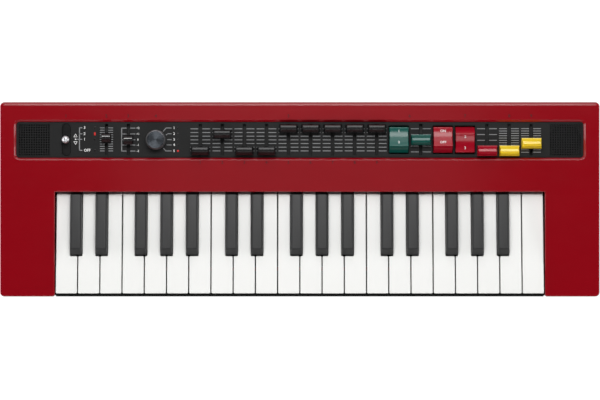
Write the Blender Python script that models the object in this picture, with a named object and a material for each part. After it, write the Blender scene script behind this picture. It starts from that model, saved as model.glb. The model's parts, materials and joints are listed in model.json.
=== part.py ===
"""Combo organ with 37 mini keys: a red slab case, a recessed black control panel, and its controls.

Every piece is modelled in the deck's own frame, which an empty carries: X runs along the keys, Y from the
front edge of the deck to its rear edge, and Z out of the deck. The empty leans by DECK_TILT, so that the deck
falls towards the player. The world's origin is on the table, under the middle of the case.
"""

from math import atan2, cos, pi, radians, sin, sqrt, tan

import bmesh
import bpy
from mathutils import Matrix

MM = 0.001

# Case
DECK_TILT = radians(6.0)
DECK_FRONT_HEIGHT = 36.5 * MM
SHELL_HEIGHT = 22.0 * MM
DECK_THICKNESS = 2.7 * MM
WALL = 2.4 * MM
TOUCH_GAP = 0.3 * MM
CASE_CORNER_RADIUS = 4.0 * MM
CASE_EDGE_RADIUS = 2.0 * MM
CHEEK_WIDTH = 48.4 * MM
DECK_BAND = 79.4 * MM
WELL_DEPTH = 92.5 * MM
WELL_SIDE_GAP = 1.17 * MM
WELL_WALL = 2.0 * MM
LIP_THICKNESS = 2.5 * MM

# Panel opening and panel plate
PANEL_FROM_WELL = 46.0 * MM
PANEL_SIDE_MARGIN = 14.2 * MM
PANEL_CORNER_RADIUS = 3.0 * MM
RIM_CHAMFER = 1.7 * MM
PLATE_THICKNESS = 2.0 * MM
PLATE_OVERLAP = 3.0 * MM

# Keys
WHITE_COUNT = 22
WHITE_PITCH = 19.63 * MM
WHITE_GAP = 1.0 * MM
KEY_FRONT_GAP = 1.1 * MM
KEY_FRONT_RISE = 3.0 * MM
KEY_TOP_SLOPE = radians(7.8)
KEY_FRONT_HEIGHT = 13.5 * MM
KEY_WALL = 1.5 * MM
BLACK_WIDTH = 10.2 * MM
BLACK_TAPER = 1.45 * MM
BLACK_BEVEL_DROP = 0.95 * MM
BLACK_DRAFT = 0.12 * MM
BLACK_SIDE_GAP = 0.45 * MM
BLACK_FRONT_GAP = 1.1 * MM
BLACK_FRONT = 36.8 * MM
BLACK_FRONT_LEAN = 5.6 * MM
BLACK_RISE = 8.4 * MM
BLACK_REAR_GAP = 1.2 * MM
PIVOT_FROM_WELL = 25.5 * MM
PIVOT_COVER = 4.2 * MM
TAIL_BELOW_PIVOT = 1.5 * MM
TAIL_PAST_PIVOT = 4.0 * MM
HOLLOW_BEFORE_PIVOT = 10.0 * MM
KEY_TRAVEL = radians(3.5)

# Key rails and slip
FULCRUM_RADIUS = 1.5 * MM
FULCRUM_WEB = 2.2 * MM
STOP_RAIL_FRONT = 22.0 * MM
STOP_RAIL_WIDTH = 4.0 * MM
RAIL_END_GAP = 0.5 * MM
SLIP_FRONT = 0.3 * MM
SLIP_THICKNESS = 1.4 * MM
SLIP_PROUD = 0.75 * MM
SLIP_DROP = 8.0 * MM

# Lower case
LOWER_INSET = 1.2 * MM
FLOOR_HEIGHT = 3.0 * MM
FLOOR_THICKNESS = 2.5 * MM
BELLY_CHAMFER = 6.0 * MM
FOOT_RADIUS = 8.0 * MM
FOOT_INSET_X = 34.0 * MM
FOOT_INSET_Y = 24.0 * MM
BATTERY_LID = (112.0 * MM, 62.0 * MM)
BATTERY_RECESS = 1.2 * MM

# Rear sockets: height above the table, place along the case and size
SOCKET_HEIGHT = 17.5 * MM
JACK_RADIUS = 3.4 * MM
PEDAL_X = 30.0 * MM
OUTPUT_RIGHT_X = -30.0 * MM
OUTPUT_LEFT_X = -54.0 * MM
PHONES_X = -84.0 * MM
AUX_X = 2.0 * MM
AUX_RADIUS = 1.9 * MM
INLET_X = 206.0 * MM
INLET_RADIUS = 3.6 * MM
LEAD_X = 66.0 * MM
LEAD_RADIUS = 4.8 * MM
USB_X = 104.0 * MM
USB_SIZE = (8.6 * MM, 7.8 * MM)

# Controls: their spacing along the panel, from its left end to its right end
LEVER_FROM_END = 44.2 * MM
VOLUME_FROM_LEVER = 35.6 * MM
OCTAVE_FROM_VOLUME = 19.4 * MM
KNOB_FROM_OCTAVE = 24.4 * MM
DRAWBARS_FROM_KNOB = 39.2 * MM
EFFECT_COUNT = 7
CONTROL_PITCH = 19.5 * MM
EFFECTS_FROM_END = 46.3 * MM

# Sliders: each cap's size is its width, its length along the slot and its height over the panel
SLIDE_TRAVEL = 19.5 * MM
CAP_END_GAP = 1.45 * MM
DRAWBAR_CAP_GAP = 3.1 * MM
EFFECT_CAP_GAP = 1.9 * MM
DRAWBAR_CAP_LENGTH = 7.8 * MM
EFFECT_CAP_LENGTH = 9.4 * MM
DRAWBAR_CAP_HEIGHT = 10.6 * MM
EFFECT_CAP_HEIGHT = 11.2 * MM
SMALL_CAP = (8.6 * MM, 8.6 * MM, 9.5 * MM)
CAP_RIDGE = 3.8 * MM
CAP_RIDGE_DROP = 3.6 * MM
CAP_END_SLOPE = 1.0 * MM
CAP_HOVER = 0.6 * MM
STEM_WIDTH = 1.6 * MM
STEM_LENGTH = 5.0 * MM
STEM_GAP = 0.5 * MM
SLOT_END_GAP = 1.75 * MM
CARRIER_SIZE = (8.0 * MM, 8.0 * MM)
CARRIER_THICKNESS = 3.0 * MM
CARRIER_GAP = 0.4 * MM

# Where the sliders rest, from -1 at the front end of their travel to 1 at its rear end
VOLUME_REST = 0.2
OCTAVE_REST = 0.0
DRAWBAR_RESTS = (-1.0, 0.5, -1.0, -1.0, 1.0, 1.0, 1.0, 1.0, 1.0)
DEPTH_REST = 0.0
LENGTH_REST = -1.0
DISTORTION_REST = -1.0
REVERB_REST = -0.32

# Rockers: a dished finger face, and ends that slope out from it to a chin a little above the pins
ROCKER_FACE = 17.0 * MM
ROCKER_LENGTH = 24.2 * MM
ROCKER_RISE = 7.2 * MM
ROCKER_CHIN_RISE = 1.0 * MM
ROCKER_SINK = 6.0 * MM
ROCKER_KEEL = 12.0 * MM
ROCKER_DISH = 1.3 * MM
ROCKER_SIDE_GAP = 0.5 * MM
ROCKER_END_GAP = 0.4 * MM
ROCKER_THROW = radians(14.0)
ROCKER_PIVOT_DROP = 4.2 * MM
ROCKER_PIN_RADIUS = 1.0 * MM
ROCKER_PIN_LENGTH = 1.1 * MM
EAR_THICKNESS = 1.6 * MM
EAR_LENGTH = 6.0 * MM

# Rotary lever
LEVER_SLOT = (7.7 * MM, 29.0 * MM)
LEVER_PIVOT_DROP = 6.0 * MM
LEVER_BALL_RADIUS = 3.4 * MM
LEVER_BALL_RISE = 8.4 * MM
LEVER_NECK_RADIUS = 1.3 * MM
LEVER_HUB_RADIUS = 2.4 * MM

# Wave knob
KNOB_BASE_RADIUS = 8.8 * MM
KNOB_TOP_RADIUS = 7.45 * MM
KNOB_HEIGHT = 11.0 * MM
KNOB_SHAFT_RADIUS = 3.0 * MM
KNOB_SHAFT_GAP = 0.35 * MM
KNOB_SWITCH_RADIUS = 6.0 * MM
KNOB_SWITCH_DEPTH = 5.0 * MM

# How finely round shapes are drawn, and how far a cutter runs past what it cuts
ROUND_SIDES = 24
SMALL_ROUND_SIDES = 12
CORNER_STEPS = 4
EDGE_STEPS = 3
BALL_STEPS = 7
DISH_STEPS = 4
SHARP_ANGLE = radians(35.0)
CUT_MARGIN = 4.0 * MM

# What a slot's round ends leave straight between them, so that no two of their points meet
SLOT_END_FLAT = 0.02 * MM

# Places along the panel
DRAWBAR_COUNT = len(DRAWBAR_RESTS)
SLOT_WIDTH = STEM_WIDTH + 2 * STEM_GAP
SLOT_LENGTH = SLIDE_TRAVEL + STEM_LENGTH + 2 * SLOT_END_GAP
LEFT_GROUP = LEVER_FROM_END + VOLUME_FROM_LEVER + OCTAVE_FROM_VOLUME + KNOB_FROM_OCTAVE + DRAWBARS_FROM_KNOB
RIGHT_GROUP = (DRAWBAR_COUNT + EFFECT_COUNT - 1) * CONTROL_PITCH
PANEL_WIDTH = LEFT_GROUP + RIGHT_GROUP + EFFECTS_FROM_END
PANEL_DEPTH = SLIDE_TRAVEL + EFFECT_CAP_LENGTH + 2 * CAP_END_GAP
PANEL_MIDDLE = WELL_DEPTH + PANEL_FROM_WELL
LEVER_X = -PANEL_WIDTH / 2 + LEVER_FROM_END
VOLUME_X = LEVER_X + VOLUME_FROM_LEVER
OCTAVE_X = VOLUME_X + OCTAVE_FROM_VOLUME
KNOB_X = OCTAVE_X + KNOB_FROM_OCTAVE
FIRST_DRAWBAR_X = KNOB_X + DRAWBARS_FROM_KNOB
DRAWBAR_CAP = (CONTROL_PITCH - DRAWBAR_CAP_GAP, DRAWBAR_CAP_LENGTH, DRAWBAR_CAP_HEIGHT)
EFFECT_CAP = (CONTROL_PITCH - EFFECT_CAP_GAP, EFFECT_CAP_LENGTH, EFFECT_CAP_HEIGHT)
ROCKER_WIDTH = CONTROL_PITCH - EAR_THICKNESS - 2 * ROCKER_SIDE_GAP
SLIDE_HALF = SLIDE_TRAVEL / 2

# The case is as wide as the keys between their cheeks or the panel between its margins, whichever needs more
WELL_HALF_WIDTH = (WHITE_COUNT * WHITE_PITCH - WHITE_GAP) / 2 + WELL_SIDE_GAP
CASE_WIDTH = max(2 * (WELL_HALF_WIDTH + CHEEK_WIDTH), PANEL_WIDTH + 2 * PANEL_SIDE_MARGIN)
CASE_DEPTH = WELL_DEPTH + DECK_BAND

# Levels and depths that follow
PANEL_TOP = -DECK_THICKNESS - TOUCH_GAP
PANEL_BOTTOM = PANEL_TOP - PLATE_THICKNESS
CARRIER_TOP = PANEL_BOTTOM - CARRIER_GAP
ROCKER_PIVOT_Z = PANEL_TOP - ROCKER_PIVOT_DROP
LEVER_PIVOT_Z = PANEL_TOP - LEVER_PIVOT_DROP
SHELL_BOTTOM = -SHELL_HEIGHT
LOWER_TOP = SHELL_BOTTOM - TOUCH_GAP
LOWER_REAR = CASE_DEPTH - LOWER_INSET
KEY_FRONT = SLIP_FRONT + SLIP_THICKNESS + KEY_FRONT_GAP
PIVOT_Y = WELL_DEPTH + PIVOT_FROM_WELL
KEY_REAR = PIVOT_Y + TAIL_PAST_PIVOT
PIVOT_Z = KEY_FRONT_RISE - (PIVOT_Y - KEY_FRONT) * tan(KEY_TOP_SLOPE) - PIVOT_COVER
CASE_GROUND_DEPTH = CASE_DEPTH * cos(DECK_TILT)
LOWER_REAR_DROP = (DECK_FRONT_HEIGHT - FLOOR_HEIGHT + LOWER_REAR * sin(DECK_TILT)) / cos(DECK_TILT)
FRONT_REACH = CASE_EDGE_RADIUS * sin(DECK_TILT)
REAR_REACH = LOWER_REAR * cos(DECK_TILT) + LOWER_REAR_DROP * sin(DECK_TILT)
DECK_FRONT_Y = -(FRONT_REACH + REAR_REACH) / 2

# The white keys that have a black key after them, and how far it sits from the line between the two whites
BLACK_OFFSETS = {"c": -1.45 * MM, "d": 1.45 * MM, "f": -3.0 * MM, "g": 0.0, "a": 3.0 * MM}
WHITE_LETTERS = "cdefgab"


def clear_scene():
    """Removes whatever the file holds."""
    for item in list(bpy.data.objects):
        bpy.data.objects.remove(item, do_unlink=True)


def material(name, colour, roughness, metallic=0.0):
    """A Principled material, made once for each name. Colours are linear."""
    found = bpy.data.materials.get(name)
    if found:
        return found
    made = bpy.data.materials.new(name)
    made.use_nodes = True
    shader = made.node_tree.nodes["Principled BSDF"]
    shader.inputs["Base Color"].default_value = (*colour, 1.0)
    shader.inputs["Roughness"].default_value = roughness
    shader.inputs["Metallic"].default_value = metallic
    return made


def red_plastic():
    return material("red_plastic", (0.27, 0.010, 0.014), 0.38)


def black_plastic():
    return material("black_plastic", (0.020, 0.020, 0.021), 0.45)


def panel_black():
    return material("panel_black", (0.022, 0.022, 0.023), 0.5)


def key_white():
    return material("key_white", (0.86, 0.86, 0.83), 0.25)


def key_black():
    return material("key_black", (0.030, 0.030, 0.031), 0.3)


def cap_black():
    return material("cap_black", (0.018, 0.018, 0.019), 0.4)


def cap_red():
    return material("cap_red", (0.40, 0.006, 0.018), 0.35)


def cap_teal():
    return material("cap_teal", (0.010, 0.12, 0.095), 0.35)


def cap_yellow():
    return material("cap_yellow", (0.72, 0.45, 0.020), 0.35)


def spun_metal():
    return material("spun_metal", (0.20, 0.21, 0.23), 0.3, 1.0)


def bright_metal():
    return material("bright_metal", (0.62, 0.62, 0.63), 0.2, 1.0)


def deck_frame():
    """The empty that carries every piece, leaning as the deck does."""
    empty = bpy.data.objects.new("deck_frame", None)
    empty.location = (0, DECK_FRONT_Y, DECK_FRONT_HEIGHT)
    empty.rotation_euler = (DECK_TILT, 0, 0)
    bpy.context.scene.collection.objects.link(empty)
    return empty


def place(name, mesh, frame, finish=None, location=(0, 0, 0)):
    """An object in the deck's frame. With no finish it is a cutter or a tool, which a render leaves out."""
    obj = bpy.data.objects.new(name, mesh)
    obj.parent = frame
    obj.location = location
    bpy.context.scene.collection.objects.link(obj)
    if finish:
        mesh.materials.append(finish)
    else:
        obj.hide_render = True
        obj.display_type = "WIRE"
    return obj


def combine(target, tool, operation):
    """Adds a Boolean modifier with the exact solver."""
    modifier = target.modifiers.new(f"{operation.lower()}_{tool.name}", "BOOLEAN")
    modifier.operation = operation
    modifier.solver = "EXACT"
    modifier.object = tool


def cut(target, tool):
    combine(target, tool, "DIFFERENCE")


def join(target, tool):
    combine(target, tool, "UNION")


def smooth_round(mesh):
    """Shades a turned piece smooth, with its real corners kept sharp."""
    mesh.shade_smooth()
    mesh.set_sharp_from_angle(angle=SHARP_ANGLE)


def finished_mesh(name, bm):
    """A mesh of the bmesh with its faces pointing out."""
    bmesh.ops.recalc_face_normals(bm, faces=bm.faces[:])
    mesh = bpy.data.meshes.new(name)
    bm.to_mesh(mesh)
    bm.free()
    return mesh


def ring_stack(name, rings):
    """Closed body through rings of the same number of points, with a cap at each end."""
    bm = bmesh.new()
    add_ring_stack(bm, rings)
    return finished_mesh(name, bm)


def add_ring_stack(bm, rings):
    loops = [[bm.verts.new(point) for point in ring] for ring in rings]
    count = len(rings[0])
    for lower, upper in zip(loops, loops[1:]):
        for i in range(count):
            j = (i + 1) % count
            bm.faces.new((lower[i], lower[j], upper[j], upper[i]))
    bm.faces.new(list(reversed(loops[0])))
    bm.faces.new(loops[-1])


def box_ring(half_x, low_y, high_y, z):
    return [(-half_x, low_y, z), (half_x, low_y, z), (half_x, high_y, z), (-half_x, high_y, z)]


def add_box(bm, low, high):
    """A box between two corners."""
    ring = [(low[0], low[1]), (high[0], low[1]), (high[0], high[1]), (low[0], high[1])]
    add_ring_stack(bm, [[(x, y, z) for x, y in ring] for z in (low[2], high[2])])


def box_mesh(name, *corner_pairs):
    """One mesh of separate boxes, each given by its low and high corner."""
    bm = bmesh.new()
    for low, high in corner_pairs:
        add_box(bm, low, high)
    return finished_mesh(name, bm)


def circle_ring(radius, z, sides=ROUND_SIDES, centre=(0, 0)):
    turns = [2 * pi * (i + 0.5) / sides for i in range(sides)]
    return [(centre[0] + radius * cos(a), centre[1] + radius * sin(a), z) for a in turns]


def clearance_radius(radius, gap, sides=SMALL_ROUND_SIDES):
    """Radius of a faceted bore whose flats stay a gap away from a round of a radius."""
    return (radius + gap) / cos(pi / sides)


def rod_mesh(name, radius, length, sides=SMALL_ROUND_SIDES):
    """A round rod along X, centred on its origin."""
    rings = [circle_ring(radius, z, sides) for z in (-length / 2, length / 2)]
    return ring_stack(name, [[(z, x, y) for x, y, z in ring] for ring in rings])


def rounded_outline(half_x, half_y, radius):
    """Outline of a rectangle with round corners, about the origin."""
    points = []
    for turn, (sx, sy) in enumerate(((1, 1), (-1, 1), (-1, -1), (1, -1))):
        for step in range(CORNER_STEPS + 1):
            angle = pi / 2 * (turn + step / CORNER_STEPS)
            x = sx * (half_x - radius) + radius * cos(angle)
            y = sy * (half_y - radius) + radius * sin(angle)
            points.append((x, y))
    return points


def rounded_ring(half_x, half_y, radius, z, centre=(0, 0)):
    return [(centre[0] + x, centre[1] + y, z) for x, y in rounded_outline(half_x, half_y, radius)]


def slot_outline(width, length):
    """Outline of a slot along Y with round ends."""
    return rounded_outline(width / 2, length / 2, (width - SLOT_END_FLAT) / 2)


def world_level(height, y):
    """The deck frame's Z of a point at a height above the table, at a deck Y."""
    return (height - DECK_FRONT_HEIGHT - y * sin(DECK_TILT)) / cos(DECK_TILT)


def key_top(y):
    """Level of a white key's top, which falls away from the player in the deck's frame."""
    return KEY_FRONT_RISE - (y - KEY_FRONT) * tan(KEY_TOP_SLOPE)


def key_bottom(y):
    """Level of a key's lower edge, which falls evenly from its front to its tail."""
    front = KEY_FRONT_RISE - KEY_FRONT_HEIGHT
    tail = PIVOT_Z - TAIL_BELOW_PIVOT
    return front + (tail - front) * (y - KEY_FRONT) / (KEY_REAR - KEY_FRONT)


def key_pressed_bottom(y):
    """Level of a key's lower edge at the end of its travel, near a deck Y."""
    back = y - PIVOT_Y
    up = key_bottom(y) - PIVOT_Z
    return PIVOT_Z + back * sin(KEY_TRAVEL) + up * cos(KEY_TRAVEL)


# Upper case

def outer_shell():
    """The slab, with its upright corners rounded and its top edge broken."""
    centre = (0, CASE_DEPTH / 2)
    half_x, half_y = CASE_WIDTH / 2, CASE_DEPTH / 2
    levels = [(0.0, SHELL_BOTTOM), (0.0, -CASE_EDGE_RADIUS)]
    for step in range(1, EDGE_STEPS + 1):
        angle = pi / 2 * step / EDGE_STEPS
        levels.append((CASE_EDGE_RADIUS * (1 - cos(angle)), CASE_EDGE_RADIUS * (sin(angle) - 1)))
    rings = [
        rounded_ring(half_x - inset, half_y - inset, CASE_CORNER_RADIUS - inset, z, centre)
        for inset, z in levels
    ]
    return ring_stack("upper_case", rings)


def shell_hollow():
    """The room under the deck: a U that leaves the walls of the key well standing."""
    x_out = CASE_WIDTH / 2 - WALL
    y_front, y_rear = WALL, CASE_DEPTH - WALL
    x_well = WELL_HALF_WIDTH + WELL_WALL
    y_lip = WELL_DEPTH + LIP_THICKNESS
    outline = [
        (-x_out, y_front), (-x_well, y_front), (-x_well, y_lip), (x_well, y_lip),
        (x_well, y_front), (x_out, y_front), (x_out, y_rear), (-x_out, y_rear),
    ]
    levels = (SHELL_BOTTOM - CUT_MARGIN, -DECK_THICKNESS)
    return ring_stack("shell_hollow", [[(x, y, z) for x, y in outline] for z in levels])


def lip_level():
    """Underside of the deck's front lip, a touch above the keys' tails, which it stops."""
    return key_top(WELL_DEPTH) + TOUCH_GAP


def panel_opening():
    """The opening for the panel, with its chamfered rim."""
    half_x, half_y = PANEL_WIDTH / 2, PANEL_DEPTH / 2
    centre = (0, PANEL_MIDDLE)
    flare = RIM_CHAMFER + CUT_MARGIN
    rings = [
        rounded_ring(half_x, half_y, PANEL_CORNER_RADIUS, -DECK_THICKNESS - CUT_MARGIN, centre),
        rounded_ring(half_x, half_y, PANEL_CORNER_RADIUS, -RIM_CHAMFER, centre),
        rounded_ring(half_x + flare, half_y + flare, PANEL_CORNER_RADIUS + flare, CUT_MARGIN, centre),
    ]
    return ring_stack("panel_opening", rings)


def build_upper_case(frame):
    case = place("upper_case", outer_shell(), frame, red_plastic())
    cut(case, place("shell_hollow", shell_hollow(), frame))
    half, low_z = WELL_HALF_WIDTH, SHELL_BOTTOM - CUT_MARGIN
    well = box_mesh("key_well", ((-half, -CUT_MARGIN, low_z), (half, WELL_DEPTH, CUT_MARGIN)))
    cut(case, place("key_well", well, frame))
    front, rear = WELL_DEPTH - CUT_MARGIN, WELL_DEPTH + LIP_THICKNESS + CUT_MARGIN
    passage = box_mesh("tail_passage", ((-half, front, low_z), (half, rear, lip_level())))
    cut(case, place("tail_passage", passage, frame))
    cut(case, place("panel_opening", panel_opening(), frame))
    return case


# Lower case

def belly_outline(inset, lift):
    """Side outline of the lower case at a wall inset and a lift of its floor, as deck Y and Z.

    The top follows the deck, the floor is level with the table, and both end walls stand square to the deck.
    """
    front, rear = SLIP_FRONT + inset, LOWER_REAR - inset
    top = LOWER_TOP + (CUT_MARGIN if inset else 0.0)
    floor = FLOOR_HEIGHT + lift
    return [(front, top), (rear, top), (rear, world_level(floor, rear)), (front, world_level(floor, front))]


def belly(name, inset, lift):
    """Closed body of the lower case's outline, with the long lower edges of its sides cut back."""
    half = CASE_WIDTH / 2 - LOWER_INSET - inset
    stations = [
        (-half, lift + BELLY_CHAMFER), (-half + BELLY_CHAMFER, lift),
        (half - BELLY_CHAMFER, lift), (half, lift + BELLY_CHAMFER),
    ]
    rings = [[(x, y, z) for y, z in belly_outline(inset, rise)] for x, rise in stations]
    return ring_stack(name, rings)


def rail_boxes():
    """Web of the fulcrum rail, and the key stop rail, both down into the floor."""
    half = WELL_HALF_WIDTH - RAIL_END_GAP
    into_floor = FLOOR_HEIGHT + FLOOR_THICKNESS / 2
    web_low, web_high = PIVOT_Y - FULCRUM_WEB / 2, PIVOT_Y + FULCRUM_WEB / 2
    stop_rear = STOP_RAIL_FRONT + STOP_RAIL_WIDTH
    stop_top = key_pressed_bottom(stop_rear) - TOUCH_GAP
    return (
        ((-half, web_low, world_level(into_floor, PIVOT_Y)), (half, web_high, PIVOT_Z)),
        ((-half, STOP_RAIL_FRONT, world_level(into_floor, STOP_RAIL_FRONT)), (half, stop_rear, stop_top)),
    )


def slip_box():
    """The slip in front of the keys, which rises from the lower case's front wall."""
    half = WELL_HALF_WIDTH - RAIL_END_GAP
    low = (-half, SLIP_FRONT - SLIP_PROUD, LOWER_TOP - WALL)
    return low, (half, SLIP_FRONT + SLIP_THICKNESS, -SLIP_DROP)


def feet(name):
    """Four round feet, from the table up into the floor, square to the table."""
    bm = bmesh.new()
    x = CASE_WIDTH / 2 - FOOT_INSET_X
    rear_y = CASE_GROUND_DEPTH - FOOT_INSET_Y
    levels = [z - DECK_FRONT_HEIGHT for z in (0.0, FLOOR_HEIGHT + FLOOR_THICKNESS / 2)]
    for centre in ((-x, FOOT_INSET_Y), (x, FOOT_INSET_Y), (-x, rear_y), (x, rear_y)):
        add_ring_stack(bm, [circle_ring(FOOT_RADIUS, z, ROUND_SIDES, centre) for z in levels])
    bmesh.ops.transform(bm, matrix=Matrix.Rotation(-DECK_TILT, 4, "X"), verts=bm.verts[:])
    return finished_mesh(name, bm)


def level_box(name, low, high):
    """A box square to the table: X, Y from the deck's front edge along the table, Z above the table."""
    bm = bmesh.new()
    add_box(bm, (low[0], low[1], low[2] - DECK_FRONT_HEIGHT), (high[0], high[1], high[2] - DECK_FRONT_HEIGHT))
    bmesh.ops.transform(bm, matrix=Matrix.Rotation(-DECK_TILT, 4, "X"), verts=bm.verts[:])
    return finished_mesh(name, bm)


def battery_recess():
    width, depth = BATTERY_LID
    middle = CASE_GROUND_DEPTH / 2
    low = (-width / 2, middle - depth / 2, FLOOR_HEIGHT - CUT_MARGIN)
    return level_box("battery_recess", low, (width / 2, middle + depth / 2, FLOOR_HEIGHT + BATTERY_RECESS))


def round_sockets():
    """Radius and place along the case of each round socket."""
    jacks = [(x, JACK_RADIUS) for x in (PEDAL_X, OUTPUT_RIGHT_X, OUTPUT_LEFT_X, PHONES_X)]
    return [*jacks, (AUX_X, AUX_RADIUS), (INLET_X, INLET_RADIUS), (LEAD_X, LEAD_RADIUS)]


def socket_holes():
    """The socket holes through the rear wall, along the deck's Y."""
    bm = bmesh.new()
    low_y, high_y = LOWER_REAR - WALL - CUT_MARGIN, LOWER_REAR + CUT_MARGIN
    z = world_level(SOCKET_HEIGHT, LOWER_REAR)
    for x, radius in round_sockets():
        rings = [
            [(x + px, y, z + pz) for px, pz, _ in circle_ring(radius, 0, SMALL_ROUND_SIDES)]
            for y in (low_y, high_y)
        ]
        add_ring_stack(bm, rings)
    width, height = USB_SIZE
    add_box(bm, (USB_X - width / 2, low_y, z - height / 2), (USB_X + width / 2, high_y, z + height / 2))
    return finished_mesh("socket_holes", bm)


def build_lower_case(frame):
    case = place("lower_case", belly("lower_case", 0.0, 0.0), frame, black_plastic())
    cut(case, place("lower_hollow", belly("lower_hollow", WALL, FLOOR_THICKNESS), frame))
    rail_web, stop_rail = rail_boxes()
    join(case, place("rail_web", box_mesh("rail_web", rail_web), frame))
    join(case, place("stop_rail", box_mesh("stop_rail", stop_rail), frame))
    join(case, place("slip", box_mesh("slip", slip_box()), frame))
    fulcrum = rod_mesh("fulcrum", FULCRUM_RADIUS, 2 * (WELL_HALF_WIDTH - RAIL_END_GAP))
    join(case, place("fulcrum", fulcrum, frame, location=(0, PIVOT_Y, PIVOT_Z)))
    join(case, place("feet", feet("feet"), frame))
    cut(case, place("battery_recess", battery_recess(), frame))
    cut(case, place("socket_holes", socket_holes(), frame))
    return case


# Keys

def white_line(index):
    """X of the left side of white key number index, counted from 0, midway in its gap."""
    return (index - WHITE_COUNT / 2) * WHITE_PITCH


def black_centre(index):
    """X of the black key after white key number index, or None."""
    letter = WHITE_LETTERS[index % 7]
    if letter not in BLACK_OFFSETS or not 0 <= index < WHITE_COUNT - 1:
        return None
    return white_line(index + 1) + BLACK_OFFSETS[letter]


def white_sides(index):
    """Left and right X of a white key's front, then of its rear between the black keys."""
    left = white_line(index) + WHITE_GAP / 2
    right = white_line(index + 1) - WHITE_GAP / 2
    clear = BLACK_WIDTH / 2 + BLACK_SIDE_GAP
    before = black_centre(index - 1)
    after = black_centre(index)
    rear_left = left if before is None else before + clear
    rear_right = right if after is None else after - clear
    return left, right, rear_left, rear_right


def white_outline(index, inset, rear):
    """Plan outline of a white key, drawn in by inset, back to a deck Y."""
    left, right, rear_left, rear_right = white_sides(index)
    notch = BLACK_FRONT - BLACK_FRONT_GAP - inset
    front = KEY_FRONT + inset
    points = [(left + inset, front), (right - inset, front)]
    if rear_right < right:
        points += [(right - inset, notch), (rear_right - inset, notch)]
    points += [(rear_right - inset, rear), (rear_left + inset, rear)]
    if rear_left > left:
        points += [(rear_left + inset, notch), (left + inset, notch)]
    return points


def white_body(name, index, inset, rear, drop, extend):
    """A white key's body about its pivot: its outline between the key's lower and upper faces."""
    outline = white_outline(index, inset, rear)
    lower = [(x, y - PIVOT_Y, key_bottom(y) - PIVOT_Z - extend) for x, y in outline]
    upper = [(x, y - PIVOT_Y, key_top(y) - PIVOT_Z - drop) for x, y in outline]
    return ring_stack(name, [lower, upper])


def black_body(name, inset, rear, drop, extend):
    """A black key's body about its pivot and its own middle: a bevelled top, a straight skirt and a tail."""
    half = BLACK_WIDTH / 2 - inset
    half_top = half - BLACK_TAPER
    front = BLACK_FRONT + inset
    step = WELL_DEPTH - BLACK_REAR_GAP - inset
    lean = front + BLACK_FRONT_LEAN
    rise = BLACK_RISE - drop
    skirt = [(front, key_bottom(front) - extend), (front, key_top(front)), (step, key_top(step))]
    skirt += [(rear, key_top(rear) - drop), (rear, key_bottom(rear) - extend)]
    shoulder = rise - BLACK_BEVEL_DROP
    mid = front + BLACK_FRONT_LEAN * shoulder / rise
    levels = (
        (half, skirt),
        (half - BLACK_DRAFT, [(mid, key_top(mid) + shoulder), (step, key_top(step) + shoulder)]),
        (half_top, [(lean, key_top(lean) + rise), (step, key_top(step) + rise)]),
    )
    bm = bmesh.new()
    sides = []
    for sign in (-1, 1):
        low, waist, high = (
            [bm.verts.new((sign * width, y - PIVOT_Y, z - PIVOT_Z)) for y, z in points] for width, points in levels
        )
        bm.faces.new(low)
        bm.faces.new((low[1], waist[0], waist[1], low[2]))
        bm.faces.new((waist[0], high[0], high[1], waist[1]))
        sides.append([low[0], low[1], waist[0], *high, waist[1], low[2], low[3], low[4]])
    left, right = sides
    for i in range(len(left)):
        j = (i + 1) % len(left)
        bm.faces.new((left[i], left[j], right[j], right[i]))
    return finished_mesh(name, bm)


def fulcrum_notch(frame):
    """The groove that every key's tail rides in, open downwards so that a key lifts off its rail."""
    sides = SMALL_ROUND_SIDES
    radius = clearance_radius(FULCRUM_RADIUS, TOUCH_GAP, sides)
    angles = [pi * i / (sides // 2) for i in range(sides // 2 + 1)]
    outline = [(radius * cos(a), radius * sin(a)) for a in angles]
    outline += [(-radius, -CUT_MARGIN), (radius, -CUT_MARGIN)]
    half = WELL_HALF_WIDTH
    rings = [[(x, y, z) for y, z in outline] for x in (-half, half)]
    return place("fulcrum_notch", ring_stack("fulcrum_notch", rings), frame, location=(0, PIVOT_Y, PIVOT_Z))


def finish_key(key, hollow_mesh, frame, notch, x):
    """Hollows a key from below and cuts the groove that it turns on."""
    cut(key, place(f"{key.name}_hollow", hollow_mesh, frame, location=(x, PIVOT_Y, PIVOT_Z)))
    cut(key, notch)


def build_keys(frame):
    """The 37 keys from the lowest up, each with its origin on the fulcrum."""
    notch = fulcrum_notch(frame)
    hollow_rear = PIVOT_Y - HOLLOW_BEFORE_PIVOT
    number = 0
    for index in range(WHITE_COUNT):
        number += 1
        name = f"key_{number:02d}_{WHITE_LETTERS[index % 7]}"
        mesh = white_body(name, index, 0.0, KEY_REAR, 0.0, 0.0)
        key = place(name, mesh, frame, key_white(), (0, PIVOT_Y, PIVOT_Z))
        hollow = white_body(f"{name}_hollow", index, KEY_WALL, hollow_rear, KEY_WALL, CUT_MARGIN)
        finish_key(key, hollow, frame, notch, 0.0)
        centre = black_centre(index)
        if centre is None:
            continue
        number += 1
        name = f"key_{number:02d}_{WHITE_LETTERS[index % 7]}_sharp"
        mesh = black_body(name, 0.0, KEY_REAR, 0.0, 0.0)
        key = place(name, mesh, frame, key_black(), (centre, PIVOT_Y, PIVOT_Z))
        hollow = black_body(f"{name}_hollow", KEY_WALL, hollow_rear, KEY_WALL, CUT_MARGIN)
        finish_key(key, hollow, frame, notch, centre)


# Controls

def effect_x(place_number):
    """X of a control in the right-hand group, which carries on the drawbars' pitch."""
    return FIRST_DRAWBAR_X + (DRAWBAR_COUNT + place_number) * CONTROL_PITCH


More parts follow.
